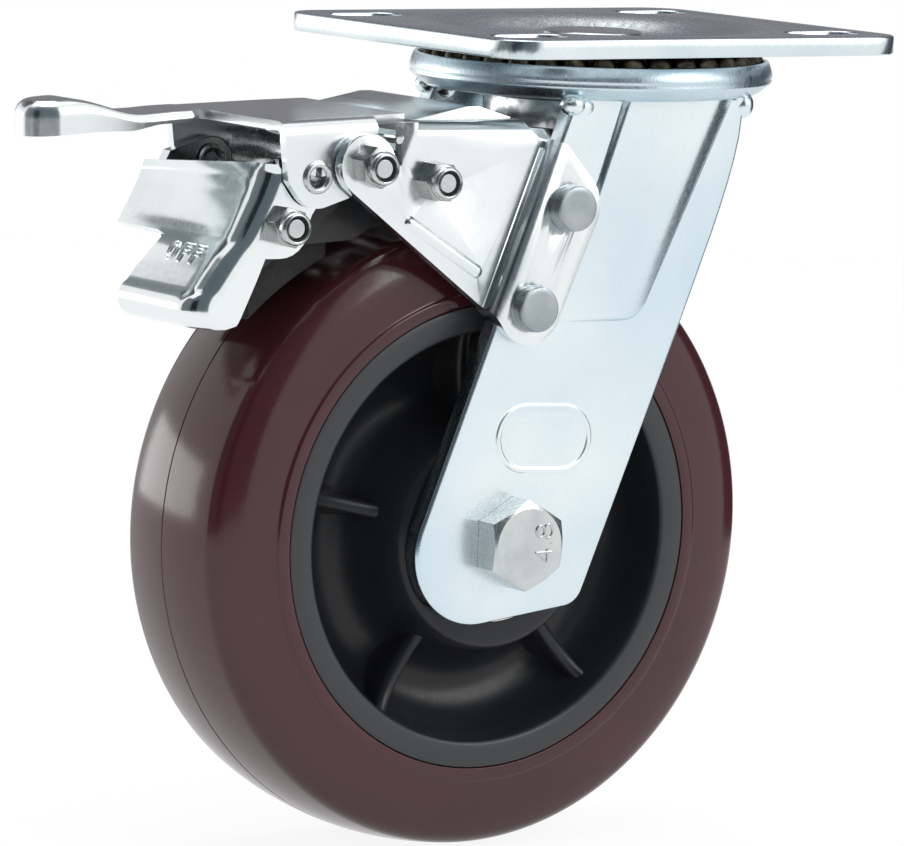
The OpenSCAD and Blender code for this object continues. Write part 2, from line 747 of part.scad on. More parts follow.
module off_lever() {
    color(zinc) difference() {
        union() {
            slanted() slab(-lever_out_y, panel_far_y) panel_section(false);
            slab(-lever_out_y, tread_far_y) panel_section(true);
            slab(-lever_out_y, -lever_in_y) wall_outline(0);
            slab(lever_in_y, lever_out_y) wall_outline(panel_slant * 2 * lever_in_y);
            slab(-lever_out_y, -lever_in_y) tread_wall_outline();
        }
        rod(lever_pin, bolt_r + seat, -lever_out_y - 1, lever_out_y + 1);
        rod(eyelet, eyelet_r + pin_gap, -lever_out_y - 1, lever_out_y + 1);
        lever_relief();
    }
}

module lever_bolt() {
    color("silver") cross_bolt(lever_pin, lever_out_y);
}

module lever_nut() {
    color("gray") lock_nut(lever_pin, lever_out_y);
}

// Brake shoe: a folded frame that swings on the shoe sleeve and carries the pad over the tread
module shoe_side_outline() {
    hull() {
        at(shoe_pivot) circle(6.3);
        at(shoe_elbow) circle(4.6);
    }
    hull() {
        at(shoe_elbow) circle(4.6);
        at(lever_pin) circle(5.4);
    }
}

// The tread as it lies against the pad once the shoe has swung down, seen from the frame at rest
module swung_tread(r) {
    at(shoe_pivot) rotate(-shoe_travel) at(axle - shoe_pivot) circle(r, $fn = 96);
}

module pad_band(r0, r1) {
    intersection() {
        difference() {
            swung_tread(r1);
            swung_tread(r0);
        }
        polygon([shoe_elbow + [-4, 4], lever_pin + [-8, 6], lever_pin + [-4, -24], shoe_elbow + [-4, -21]]);
    }
}

module brake_shoe() {
    pad_back_r = wheel_r + gap + pad_t;
    color([0.16, 0.16, 0.17]) difference() {
        union() {
            both_sides() slab(-shoe_out_y, -shoe_in_y) {
                shoe_side_outline();
                pad_band(pad_back_r, pad_back_r + 6);
            }
            slab(-shoe_in_y - eps, shoe_in_y + eps) pad_band(pad_back_r, pad_back_r + pedal_t);
        }
        rod(shoe_pivot, sleeve_r + pin_gap, -shoe_out_y - 1, shoe_out_y + 1);
        rod(lever_pin, bolt_r + lever_pin_clear, -shoe_out_y - 1, shoe_out_y + 1);
    }
}

module brake_pad() {
    color([0.1, 0.1, 0.1])
        slab(-pad_w / 2, pad_w / 2) pad_band(wheel_r + gap, wheel_r + gap + pad_t);
}

// Wheel: a tyre moulded round a ribbed core
module tyre() {
    r = wheel_r;
    bead_r = core_r + 3.1;
    crown_drop = 1.5;
    tread_y = tyre_bead_y - 7;
    shoulder_r = 5;
    tread_arc = [for (i = [-8:8]) let (y = tread_y * i / 8) [r - crown_drop * pow(i / 8, 2), y]];
    shoulder = arc([r - crown_drop - shoulder_r, tread_y - 0.5], shoulder_r, 12, 72, 6);
    side = [[bead_r, tyre_bead_y - 0.5], [bead_r, tyre_bead_y], [core_r + seat, tyre_bead_y]];
    half = concat(shoulder, side);
    color([0.36, 0.16, 0.18]) on_axle() rotate_extrude($fn = 96)
        polygon(concat([for (i = [0:len(half) - 1]) let (p = half[len(half) - 1 - i]) [p[0], -p[1]]],
            tread_arc, half));
}

module core_section() {
    rim_in = core_r - rim_t;
    hub_r = hub_d / 2;
    half_web = web_t / 2;
    fillet = 5;
    polygon([[bearing_r + seat, -hub_y], [hub_r - 2, -hub_y], [hub_r, -hub_y + 5], [hub_r, -half_web - fillet],
        [hub_r + fillet, -half_web], [rim_in - 1.5 - fillet, -half_web], [rim_in - 1.5, -half_web - fillet],
        [rim_in, -tyre_bead_y], [core_r, -tyre_bead_y], [core_r, tyre_bead_y], [rim_in, tyre_bead_y],
        [rim_in - 1.5, half_web + fillet], [rim_in - 1.5 - fillet, half_web], [hub_r + fillet, half_web],
        [hub_r, half_web + fillet], [hub_r, hub_y - 5], [hub_r - 2, hub_y], [bearing_r + seat, hub_y],
        [bearing_r + seat, bearing_in_y], [bearing_r - 3, bearing_in_y], [bearing_r - 3, -bearing_in_y],
        [bearing_r + seat, -bearing_in_y]]);
}

module wheel_core() {
    rib_from = bearing_r + 3;
    rib_to = core_r - rim_t + 1;
    color([0.15, 0.15, 0.16]) on_axle() union() {
        rotate_extrude($fn = 96) core_section();
        for (i = [0:rib_n - 1]) rotate([0, 0, 167 + 360 * i / rib_n])
            translate([rib_from, -rib_t / 2, -rib_h]) cube([rib_to - rib_from, rib_t, 2 * rib_h]);
    }
}

// Wheel bearings: two ball bearings on a bush that the axle bolt clamps between the legs
module race_ring(r0, r1) {
    on_axle() rotate_extrude() difference() {
        translate([r0, bearing_in_y]) square([r1 - r0, bearing_w]);
        translate([bearing_pitch_r, bearing_mid_y]) circle(bearing_ball_r + gap);
    }
}

module bearing_outer_rings() {
    color("silver") both_sides() race_ring(bearing_r - ring_t, bearing_r);
}

module bearing_inner_rings() {
    color("silver") both_sides() race_ring(bush_r + seat, bush_r + ring_t);
}

module bearing_balls() {
    color("gray") both_sides() on_axle()
        for (i = [0:bearing_balls_n - 1]) rotate([0, 0, 360 * i / bearing_balls_n])
            translate([bearing_pitch_r, 0, bearing_mid_y]) sphere(bearing_ball_r);
}

module tube(r0, r1, y0, y1) {
    difference() {
        rod(axle, r1, y0, y1);
        rod(axle, r0, y0 - 1, y1 + 1);
    }
}

module bearing_spacer() {
    color("silver") tube(bush_r + seat, bush_r + 2.5, -bearing_in_y, bearing_in_y);
}

module axle_bush() {
    color("silver") tube(axle_d / 2 + seat, bush_r, -leg_in_y, leg_in_y);
}

module thrust_washers() {
    color("silver") both_sides() tube(bush_r + seat, bush_r + 3, -leg_in_y, -hub_y);
}

module axle_bolt() {
    face_h = 1.6;
    color("silver") union() {
        slab(-leg_out_y - axle_head_h + face_h, -leg_out_y) at(axle) hexagon(axle_af);
        rod(axle, axle_af / 2 - 0.4, -leg_out_y - axle_head_h, -leg_out_y - axle_head_h + face_h);
        rod(axle, axle_d / 2, -leg_out_y, leg_out_y + 14);
    }
}

module axle_nut() {
    color("silver") difference() {
        union() {
            slab(leg_out_y, leg_out_y + 9) at(axle) hexagon(axle_af);
            rod(axle, axle_af / 2 - 0.6, leg_out_y + 9, leg_out_y + 12.5);
        }
        rod(axle, axle_d / 2 + seat, leg_out_y - 1, leg_out_y + 14);
    }
}

mounting_plate();
kingpin();
lower_race_cup();
main_balls();
lower_balls();
fork();
brake_bracket();
bracket_rivets();
pedal_sleeve();
pedal_bolt();
pedal_nut();
shoe_sleeve();
shoe_bolt();
shoe_nut();
pedal_spring();
on_pedal();
eyelet_rivets();
off_lever();
lever_bolt();
lever_nut();
brake_shoe();
brake_pad();
tyre();
wheel_core();
bearing_outer_rings();
bearing_balls();
bearing_inner_rings();
bearing_spacer();
axle_bush();
thrust_washers();
axle_bolt();
axle_nut();
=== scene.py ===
# %% [markdown]
# # A swivel castor with a double pedal brake
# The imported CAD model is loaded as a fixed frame. Every piece made below rides on one of its
# bodies, so the castor still swivels, rolls and brakes. The CAD is in metres, but a castor is
# drawn in millimetres, so the numbers below are millimetres and MM converts them.

# %% The frame
import math

import bmesh
import bpy
from mathutils import Matrix, Vector
from mathutils.geometry import delaunay_2d_cdt


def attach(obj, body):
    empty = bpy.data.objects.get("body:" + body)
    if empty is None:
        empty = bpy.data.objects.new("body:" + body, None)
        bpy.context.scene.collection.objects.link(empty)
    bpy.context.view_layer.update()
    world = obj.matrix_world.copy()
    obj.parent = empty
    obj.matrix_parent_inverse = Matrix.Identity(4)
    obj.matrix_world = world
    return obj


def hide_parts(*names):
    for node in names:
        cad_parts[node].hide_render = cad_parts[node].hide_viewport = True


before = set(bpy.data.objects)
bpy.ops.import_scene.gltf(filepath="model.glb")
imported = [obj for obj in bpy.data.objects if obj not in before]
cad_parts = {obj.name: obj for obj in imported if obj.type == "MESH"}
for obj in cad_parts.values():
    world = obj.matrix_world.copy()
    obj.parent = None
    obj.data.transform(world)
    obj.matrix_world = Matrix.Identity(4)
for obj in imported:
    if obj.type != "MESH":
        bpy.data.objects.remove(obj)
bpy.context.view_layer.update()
MM = 0.001
MICRON = 0.000001

# %% [markdown]
# ## The places that everything else hangs on
# The swivel axis is the Z axis and the plate's top is at zero. The axle lies 40 mm behind the
# swivel axis. The brake turns about four pins: three bolts and a pair of eyelet rivets.

# %% Datum points, as X and Z
AXLE = (-40.0, -119.0)
PEDAL_PIN = (-81.5, -30.0)
EYELET = (-92.8, -32.7)
LEVER_PIN = (-100.4, -43.9)
SHOE_PIN = (-64.1, -33.7)
LEG_IN = 27.5
LEG_OUT = 32.5
CHEEK_OUT = 30.5
LEVER_OUT = 23.6
print("axle to swivel axis:", -AXLE[0], "mm")

# %% [markdown]
# ## The camera
# It stands where the photographer stood: 33 degrees to the left of the castor's side, 7.5
# degrees above it, 1.43 m away with a long lens, and rolled a little.

# %% Camera
FOCAL_PIXELS = 6000
PHOTO_WIDTH = 904
SENSOR_WIDTH = 36
DISTANCE, SHIFT_RIGHT, SHIFT_UP = 1432.955, 3.6885, 23.772
azimuth, elevation, roll = (math.radians(a) for a in (-33.3049, 7.4601, 1.8674))
back = Vector((math.sin(azimuth) * math.cos(elevation), -math.cos(azimuth) * math.cos(elevation),
               math.sin(elevation)))
level = (-back).cross(Vector((0, 0, 1))).normalized()
upward = level.cross(-back)
right = math.cos(roll) * level + math.sin(roll) * upward
up = math.cos(roll) * upward - math.sin(roll) * level
place = Vector((AXLE[0], 0, AXLE[1])) * MM + (back * DISTANCE + right * SHIFT_RIGHT + up * SHIFT_UP) * MM
lens = bpy.data.cameras.new("camera")
lens.sensor_width = SENSOR_WIDTH
lens.lens = FOCAL_PIXELS / PHOTO_WIDTH * SENSOR_WIDTH
camera = bpy.data.objects.new("camera", lens)
camera.matrix_world = Matrix.Translation(place) @ Matrix((right, up, back)).transposed().to_4x4()
scene = bpy.context.scene
scene.collection.objects.link(camera)
scene.camera = camera
scene.view_settings.view_transform = "Standard"
print("lens:", round(lens.lens, 1), "mm")

# %% [markdown]
# ## Node helpers
# A material is a small graph. One helper adds a node, sets its fields and joins its inputs.

# %% Adding nodes
def add(tree, kind, inputs=None, **fields):
    node = tree.nodes.new(kind)
    for key, value in fields.items():
        setattr(node, key, value)
    for key, value in (inputs or {}).items():
        if isinstance(value, bpy.types.NodeSocket):
            tree.links.new(value, node.inputs[key])
        else:
            node.inputs[key].default_value = value
    return node


def ramp(tree, factor, *stops):
    node = add(tree, "ShaderNodeValToRGB", {"Fac": factor})
    elements = node.color_ramp.elements
    while len(elements) < len(stops):
        elements.new(0.5)
    for element, (position, colour) in zip(elements, stops):
        element.position = position
        element.color = (*colour, 1)
    return node.outputs["Color"]


def span(tree, value, low, high, out_low, out_high):
    return add(tree, "ShaderNodeMapRange", {"Value": value, "From Min": low, "From Max": high,
                                            "To Min": out_low, "To Max": out_high}).outputs["Result"]


def noise(tree, scale, detail=2.0, stretch=(1, 1, 1)):
    """Noise with lumps of about 1/scale metres, stretched along the object's axes."""
    coords = add(tree, "ShaderNodeTexCoord").outputs["Object"]
    mapped = add(tree, "ShaderNodeMapping", {"Vector": coords, "Scale": stretch}).outputs["Vector"]
    fields = {"Vector": mapped, "Scale": scale, "Detail": detail}
    return add(tree, "ShaderNodeTexNoise", fields).outputs["Fac"]


def new_finish(name):
    material = bpy.data.materials.new(name)
    material.use_nodes = True
    return material, material.node_tree, material.node_tree.nodes["Principled BSDF"]


def roughen(tree, shader, height, depth):
    """A fine relief, with its depth in thousandths of a millimetre."""
    bump = add(tree, "ShaderNodeBump", {"Height": height, "Strength": 1.0, "Distance": depth * MICRON})
    tree.links.new(bump.outputs["Normal"], shader.inputs["Normal"])

# %% [markdown]
# ## Zinc plate
# Pressed steel that is zinc plated and passivated is bright and bluish, with faint clouds of
# colour. It isn't a mirror: the plate follows the rolled sheet's fine grain, so highlights are
# soft. The clouds drive the tint, and two finer noises drive the roughness and the bump.

# %% Zinc and fastener finishes
def plated(name, tints, rough, grain=900, cloud=30, stretch=(1, 1, 1), depth=1.2):
    material, tree, shader = new_finish(name)
    clouds = noise(tree, cloud, 3)
    low, middle, high = tints
    tree.links.new(ramp(tree, clouds, (0.3, low), (0.5, middle), (0.7, high)), shader.inputs["Base Color"])
    pits = noise(tree, grain, 3, stretch)
    tree.links.new(span(tree, pits, 0.3, 0.7, *rough), shader.inputs["Roughness"])
    shader.inputs["Metallic"].default_value = 1.0
    roughen(tree, shader, noise(tree, grain * 2.2, 2, stretch), depth)
    return material


zinc = plated("zinc_plate", ((0.72, 0.78, 0.80), (0.80, 0.84, 0.85), (0.84, 0.86, 0.86)), (0.20, 0.27))
zinc_blue = plated("zinc_blue", ((0.60, 0.73, 0.79), (0.72, 0.81, 0.85), (0.86, 0.90, 0.91)), (0.22, 0.28),
                   cloud=16)
smooth = plated("zinc_smooth", ((0.74, 0.80, 0.82), (0.82, 0.86, 0.87), (0.86, 0.88, 0.88)), (0.11, 0.17),
                depth=0.8)
rolled = plated("zinc_rolled", ((0.62, 0.72, 0.77), (0.72, 0.79, 0.82), (0.80, 0.84, 0.86)), (0.22, 0.30),
                grain=1500, stretch=(1, 1, 0.06), depth=8)
zinc_edge = plated("zinc_sheared_edge", ((0.50, 0.62, 0.69), (0.62, 0.73, 0.79), (0.74, 0.82, 0.85)),
                   (0.24, 0.40), grain=1500, stretch=(1, 1, 0.05), depth=30)
bright = plated("fastener_zinc", ((0.50, 0.53, 0.53), (0.58, 0.61, 0.61), (0.64, 0.67, 0.66)), (0.22, 0.34),
                grain=1500, cloud=120)
nut_zinc = plated("nut_zinc", ((0.30, 0.33, 0.32), (0.38, 0.40, 0.39), (0.46, 0.48, 0.46)), (0.20, 0.32),
                  grain=1500, cloud=120)
dull = plated("rivet_zinc", ((0.33, 0.37, 0.39), (0.38, 0.42, 0.44), (0.43, 0.46, 0.47)), (0.34, 0.48),
              grain=2200, cloud=160)
polished = plated("ball_steel", ((0.60, 0.62, 0.63), (0.66, 0.67, 0.68), (0.70, 0.70, 0.70)), (0.10, 0.22),
                  grain=2500, cloud=200, depth=1)
# Brown grease on steel, made darker still as painted shade for the shadowed ball race.
grease_and_painted_shade = plated("greased_steel_painted_shade", ((0.030, 0.024, 0.016), (0.06, 0.05, 0.035), (0.16, 0.13, 0.09)),
                 (0.22, 0.42), grain=1800, cloud=300)
plated_finishes = (zinc, zinc_blue, smooth, rolled, zinc_edge, bright, nut_zinc, dull, polished, grease_and_painted_shade)
print("plated finishes:", [finish.name for finish in plated_finishes])

# %% [markdown]
# ## Plastics, rubber and paint
# The tyre is cast polyurethane: a deep maroon with a glossy skin. The core is black nylon, a
# little paler outside a radius near its rim than in the moulded dish. The shoe is satin black, the pad matt.

# %% Plastic, rubber and paint finishes
SKIN_GRAIN = 1200
PALE_RIM_R = 49.4


def moulded(name, low, high, rough, specular, scale=60, depth=6):
    material, tree, shader = new_finish(name)
    clouds = noise(tree, scale, 3)
    tree.links.new(ramp(tree, clouds, (0.3, low), (0.7, high)), shader.inputs["Base Color"])
    pits = noise(tree, SKIN_GRAIN, 2)
    tree.links.new(span(tree, pits, 0.3, 0.7, *rough), shader.inputs["Roughness"])
    shader.inputs["Specular IOR Level"].default_value = specular
    roughen(tree, shader, noise(tree, SKIN_GRAIN * 1.7, 2), depth)
    return material


def paler_rim(material, radius, pale):
    """Mixes in a paler colour outside a radius from the axle."""
    tree = material.node_tree
    base = tree.nodes["Principled BSDF"].inputs["Base Color"]
    colour = base.links[0].from_socket
    coords = add(tree, "ShaderNodeTexCoord").outputs["Object"]
    flat = add(tree, "ShaderNodeVectorMath", {0: coords, 1: (1, 0, 1)}, operation="MULTIPLY").outputs[0]
    centre = (AXLE[0] * MM, 0, AXLE[1] * MM)
    reach = add(tree, "ShaderNodeVectorMath", {0: flat, 1: centre}, operation="DISTANCE").outputs["Value"]
    share = span(tree, reach, (radius - 0.4) * MM, (radius + 0.4) * MM, 0, 1)
    mix = add(tree, "ShaderNodeMix", data_type="RGBA")
    tree.links.new(share, mix.inputs["Factor"])
    tree.links.new(colour, mix.inputs[6])
    mix.inputs[7].default_value = (*pale, 1)
    tree.links.new(mix.outputs[2], base)


urethane = moulded("polyurethane", (0.046, 0.010, 0.013), (0.060, 0.014, 0.018), (0.10, 0.18), 0.5, scale=25)
nylon = moulded("black_nylon", (0.013, 0.014, 0.016), (0.019, 0.020, 0.022), (0.28, 0.40), 0.32)
paler_rim(nylon, PALE_RIM_R, (0.045, 0.047, 0.050))
black_paint = moulded("satin_black", (0.010, 0.010, 0.011), (0.018, 0.018, 0.019), (0.30, 0.42), 0.4)
pad_rubber = moulded("brake_rubber", (0.012, 0.012, 0.012), (0.022, 0.021, 0.020), (0.7, 0.9), 0.3, depth=40)
insert_nylon = moulded("insert_nylon", (0.02, 0.02, 0.022), (0.03, 0.03, 0.032), (0.4, 0.5), 0.4)
moulded_finishes = (urethane, nylon, black_paint, pad_rubber, insert_nylon)
print("moulded finishes:", [finish.name for finish in moulded_finishes])

# %% [markdown]
# ## The CAD nodes that stay
# About half of the nodes already have the right shape. They get their finish. Facets that lie
# flat are joined, and then every sharp edge is broken by a small round, because no pressed or
# turned edge is perfectly sharp. Balls and wire stay as they are.

# %% Breaking the edges
def edge_break(obj, width, segments=2, limit=35, merge_flats=True):
    if merge_flats:
        weld = obj.modifiers.new("join", "WELD")
        weld.merge_threshold = 0.00001
        flats = obj.modifiers.new("flats", "DECIMATE")
        flats.decimate_type = "DISSOLVE"
        flats.angle_limit = math.radians(0.8)
    bevel = obj.modifiers.new("edge_break", "BEVEL")
    bevel.width = width * MM
    bevel.segments = segments
    bevel.limit_method = "ANGLE"
    bevel.angle_limit = math.radians(limit)
    bevel.harden_normals = True


def finish_node(node, material, width):
    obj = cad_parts[node]
    obj.data.materials.clear()
    obj.data.materials.append(material)
    obj.data.shade_smooth()
    if width:
        edge_break(obj, width)


kept = (
    (rolled, 0.5, ["mounting_plate"]),
    (zinc, 0.5, ["kingpin"]),
    (zinc, 0.3, ["lower_race_cup", "brake_bracket"]),
    (grease_and_painted_shade, 0, ["main_balls"]),
    (polished, 0, ["lower_balls", "bearing_balls", "pedal_spring"]),
    (polished, 0.2, ["bearing_outer_rings", "bearing_inner_rings"]),
    (bright, 0.2, ["pedal_sleeve", "shoe_sleeve", "bearing_spacer", "axle_bush", "thrust_washers"]),
    (black_paint, 0.3, ["brake_shoe"]),
    (pad_rubber, 0.5, ["brake_pad"]),
)
for material, width, nodes in kept:
    for node in nodes:
        finish_node(node, material, width)
print("CAD nodes that stay:", sum(len(nodes) for *_, nodes in kept))

# %% [markdown]
# ## Making new pieces
# Where a CAD solid is plainer than the real piece, a new mesh stands for it. Each mesh is made
# from points in millimetres. Faces that meet at more than the given angle keep a crisp edge,
# and the rest are shaded smooth.

# %% From points to a piece
def piece(name, points, faces, body, material, slot, replaced=(), crease=32):
    mesh = bpy.data.meshes.new(name)
    mesh.from_pydata([Vector(p) * MM for p in points], [], faces)
    shell = bmesh.new()
    shell.from_mesh(mesh)
    bmesh.ops.remove_doubles(shell, verts=shell.verts, dist=0.002 * MM)
    bmesh.ops.recalc_face_normals(shell, faces=shell.faces)
    shell.to_mesh(mesh)
    shell.free()
    mesh.shade_smooth()
    mesh.set_sharp_from_angle(angle=math.radians(crease))
    mesh.materials.append(material)
    obj = bpy.data.objects.new(name, mesh)
    scene.collection.objects.link(obj)
    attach(obj, body)
    if replaced:
        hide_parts(*replaced)
    print(name, len(mesh.polygons), "faces")
    return obj


def grid_faces(rows, columns, closed=True):
    """Quads between rows of points. Each row closes on itself when closed is true."""
    faces = []
    for row in range(rows - 1):
        for column in range(columns if closed else columns - 1):
            after = (column + 1) % columns
            a = row * columns
            faces.append((a + column, a + after, a + columns + after, a + columns + column))
    return faces


def arc(centre, radius, start, end, steps):
    angles = [math.radians(start + (end - start) * i / steps) for i in range(steps + 1)]
    return [(centre[0] + radius * math.cos(a), centre[1] + radius * math.sin(a)) for a in angles]


def between(start, end, share):
    return tuple(a + (b - a) * share for a, b in zip(start, end))


def rotated(x, y, centre, angle):
    return (centre[0] + x * math.cos(angle) - y * math.sin(angle),
            centre[1] + x * math.sin(angle) + y * math.cos(angle))


def rounded(corners, radius, steps=4):
    """A closed outline with its corners rounded. Each corner is (x, y) or (x, y, own radius)."""
    outline = []
    for i, corner in enumerate(corners):
        here = Vector(corner[:2])
        before, after = Vector(corners[i - 1][:2]), Vector(corners[(i + 1) % len(corners)][:2])
        one, two = (before - here).normalized(), (after - here).normalized()
        half = one.angle(two) / 2
        r = corner[2] if len(corner) > 2 else radius
        if r <= 0 or half > math.radians(89):
            outline.append(tuple(here))
            continue
        reach = min(r / math.tan(half), 0.49 * (before - here).length, 0.49 * (after - here).length)
        r = reach * math.tan(half)
        centre = here + (one + two).normalized() * r / math.sin(half)
        start, end = here + one * reach - centre, here + two * reach - centre
        turn = start.angle_signed(end)
        outline += [rotated(start.x, start.y, centre, -turn * k / steps) for k in range(steps + 1)]
    return outline


def turned(profile, centre, segments=128, axis="Y"):
    """Points and faces of a closed profile of (radius, height), turned about a Y or Z axis."""
    points = []
    for k in range(segments):
        a = 2 * math.pi * k / segments
        for r, h in profile:
            u, v = centre[0] + r * math.cos(a), centre[1] + r * math.sin(a)
            points.append((u, h, v) if axis == "Y" else (u, v, h))
    n = len(profile)
    faces = []
    for k in range(segments):
        near, far = k * n, (k + 1) % segments * n
        for i in range(n):
            j = (i + 1) % n
            if max(profile[i][0], profile[j][0]) > 1e-6:
                faces.append((near + i, near + j, far + j, far + i))
    return points, faces


def quarter(steps):
    """For points round a quarter circle: how far each still has to go out, and how far it came down."""
    angles = [math.pi / 2 * k / steps for k in range(steps + 1)]
    return [(1 - math.sin(a), 1 - math.cos(a)) for a in angles]


def flipped(mesh, side):
    points, faces = mesh
    return [(x, side * y, z) for x, y, z in points], faces


def joined(*parts):
    """Several (points, faces) as one."""
    points, faces = [], []
    for more_points, more_faces in parts:
        first = len(points)
        points += more_points
        faces += [tuple(first + i for i in face) for face in more_faces]
    return points, faces

# %% [markdown]
# ## The tyre
# Polyurethane is cast round the core in a split mould. The turned profile gives the low crown
# of the tread, the soft shoulders, the bead's step over the core's rim, and the fine groove
# where the two halves of the mould met.

# %% Tyre
TYRE_R = 76.0
TREAD_Y = 16.4
TREAD_FALL = 1.5
GROOVE_Y = 0.35


def mirrored(half):
    """A profile for one side, and the same for the other side in the opposite order."""
    return half + [(r, -h) for r, h in reversed(half)]


across = [GROOVE_Y + (TREAD_Y - GROOVE_Y) * i / 14 for i in range(15)]
tread = [(TYRE_R - TREAD_FALL * (y / TREAD_Y) ** 2, y) for y in across]
shoulder = arc((69.5, 15.9), 5.0, 12, 70, 10)
wall = [(69.6, 21.25), (67.5, 21.75), (65.0, 22.2), (62.0, 22.6), (59.2, 22.85), (58.75, 22.9), (58.5, 23.05),
        (58.35, 23.3), (58.1, 23.4), (55.8, 23.4), (55.5, 23.3), (55.36, 22.9)]
tyre_profile = [(TYRE_R - 0.16, 0.12)] + tread + shoulder + wall
piece("tyre_cast", *turned(mirrored(tyre_profile), AXLE, 288), "wheel", urethane, "polyurethane", ["tyre"])

# %% [markdown]
# ## The wheel core
# The core is moulded nylon: a hub, a dished web, a rim under the tyre, and five ribs on each
# side. Moulded corners are all rounded, so the dish is one smooth curve from hub to rim, and
# the ribs have round backs that melt into it.

# %% Wheel core
RIB_ANGLES = [167 + 72 * i for i in range(5)]
RIB_IN, RIB_OUT, RIB_FOOT = 25.5, 48.6, 5.2
HUB_Y = 26.0
BORE_R = 20.06
half_core = [(24.9, HUB_Y), (25.8, 25.6), (26.6, 24.2), (27.2, 21.5), (27.8, 17.5), (28.8, 13.6),
             (30.6, 9.9), (33.2, 7.2), (36.0, 6.2), (39.0, 6.3), (42.0, 7.4), (44.6, 9.6), (46.4, 12.4),
             (47.5, 16.0), (48.2, 19.5), (48.9, 22.4), (49.3, 23.1), (50.0, 23.4), (54.6, 23.4), (55.1, 23.2),
             (55.25, 22.7)]
bore = [(BORE_R, HUB_Y), (BORE_R, -HUB_Y)]
core_mesh = turned([(r, -h) for r, h in half_core] + half_core[::-1] + bore, AXLE, 192)


def rib(angle, side):
    """A round-backed bar from the hub to the rim, on one side of the web."""
    a = math.radians(angle)
    out = Vector((math.cos(a), 0, math.sin(a)))
    across = Vector((-math.sin(a), 0, math.cos(a)))
    centre = Vector((AXLE[0], 0, AXLE[1]))
    points = []
    stations = 14
    section = [(-4.2, 0.0), (-2.6, 2.5), (-2.15, 6.0), (-2.0, 9.5), (-1.7, 10.7), (-1.1, 11.5), (-0.4, 11.85),
               (0.4, 11.85), (1.1, 11.5), (1.7, 10.7), (2.0, 9.5), (2.15, 6.0), (2.6, 2.5), (4.2, 0.0)]
    for k in range(stations):
        t = k / (stations - 1)
        r = RIB_IN + (RIB_OUT - RIB_IN) * t
        lift = 1.0 - 0.16 * math.sin(math.pi * t) + 0.10 * (abs(2 * t - 1) ** 6)
        for u, w in section:
            points.append(centre + out * r + across * u + Vector((0, side * (RIB_FOOT + w * lift), 0)))
    return points, grid_faces(stations, len(section), closed=False)


ribs = [rib(angle, side) for angle in RIB_ANGLES for side in (-1, 1)]
piece("wheel_core_moulded", *joined(core_mesh, *ribs), "wheel", nylon, "black_nylon", ["wheel_core"],
      crease=38)

# %% [markdown]
# ## Threads, nuts and bolt heads
# A hex head is a six-sided bar that was faced off by a cone, which leaves the curved chamfer
# lines on each flat. The cone meets each direction at its own height, so one formula gives the
# whole head. A lock nut has a thin collar rolled over a nylon ring. Threads are cut as a helix.

# %% Hex heads and lock nuts
def hex_reach(angle, across_flats):
    return across_flats / 2 / math.cos((angle + math.pi / 6) % (math.pi / 3) - math.pi / 6)


def hex_body(point, across_flats, base_y, face_y, face_r, turn=0.0, per_side=10, base_chamfer=False):
    """A chamfered hex from base_y to face_y, along Y at an (x, z) point, with its face left flat."""
    count = 6 * per_side
    way = 1 if face_y > base_y else -1
    slope = math.tan(math.radians(30))
    rows = []
    for level in range(5):
        row = []
        for k in range(count):
            a = 2 * math.pi * k / count
            r = hex_reach(a, across_flats)
            drop = max(0.0, (r - face_r) * slope)
            base_drop = drop if base_chamfer else 0.0
            y = (base_y, base_y + way * base_drop, face_y - way * drop, face_y, face_y)[level]
            r = (face_r - 0.6 if base_chamfer else r, r, r, face_r, face_r * 0.5)[level]
            b = a + math.radians(turn)
            row.append((point[0] + r * math.cos(b), y, point[1] + r * math.sin(b)))
        rows += row
    faces = grid_faces(5, count)
    faces.append(tuple(4 * count + k for k in range(count)))
    faces.append(tuple(range(count)))
    return rows, faces


def threaded(point, r, start_y, end_y, pitch, turns_round=40):
    """A helical thread between two heights, with a chamfered free end at end_y."""
    way = 1 if end_y > start_y else -1
    length = abs(end_y - start_y)
    steps = max(8, int(length / pitch * 8))
    depth = 0.54 * pitch
    rows = []
    for i in range(steps + 1):
        h = length * i / steps
        limit = r - max(0.0, h - (length - depth)) if h > length - depth else r
        for k in range(turns_round):
            a = 2 * math.pi * k / turns_round
            phase = (h / pitch - k / turns_round) % 1.0
            ridge = abs(2 * phase - 1)
            radius = min(limit, r - depth * min(1.0, max(0.0, 1.35 * ridge - 0.15)))
            rows.append((point[0] + radius * math.cos(a), start_y + way * h, point[1] + radius * math.sin(a)))
    faces = grid_faces(steps + 1, turns_round)
    faces.append(tuple(steps * turns_round + k for k in range(turns_round)))
    faces.append(tuple(range(turns_round)))
    return rows, faces


NUT_AF = 8.5
NUT_H = 7.5
NUT_FACE_R = 3.95
BOLT_R = 2.5
BOLT_PITCH = 0.8


def collar(point, base_y, way):
    """The rolled collar and, inside it, the seat of the nylon ring."""
    top = base_y + way * NUT_H
    foot = base_y + way * 5.1
    rolled_rim = [(3.92, 1.0), (3.8, 0.45), (3.5, 0.12), (3.2, 0), (3.0, 0.12), (2.92, 0.4), (2.9, 1.6)]
    return turned([(3.9, foot)] + [(r, top - way * h) for r, h in rolled_rim] + [(2.9, foot)], point, 48)


def nylon_ring(point, base_y, way):
    top = base_y + way * (NUT_H - 0.45)
    profile = [(2.98, 1.4), (2.98, 0.25), (2.75, 0), (2.62, 0.2), (2.56, 1.4)]
    return turned([(r, top - way * h) for r, h in profile], point, 40)


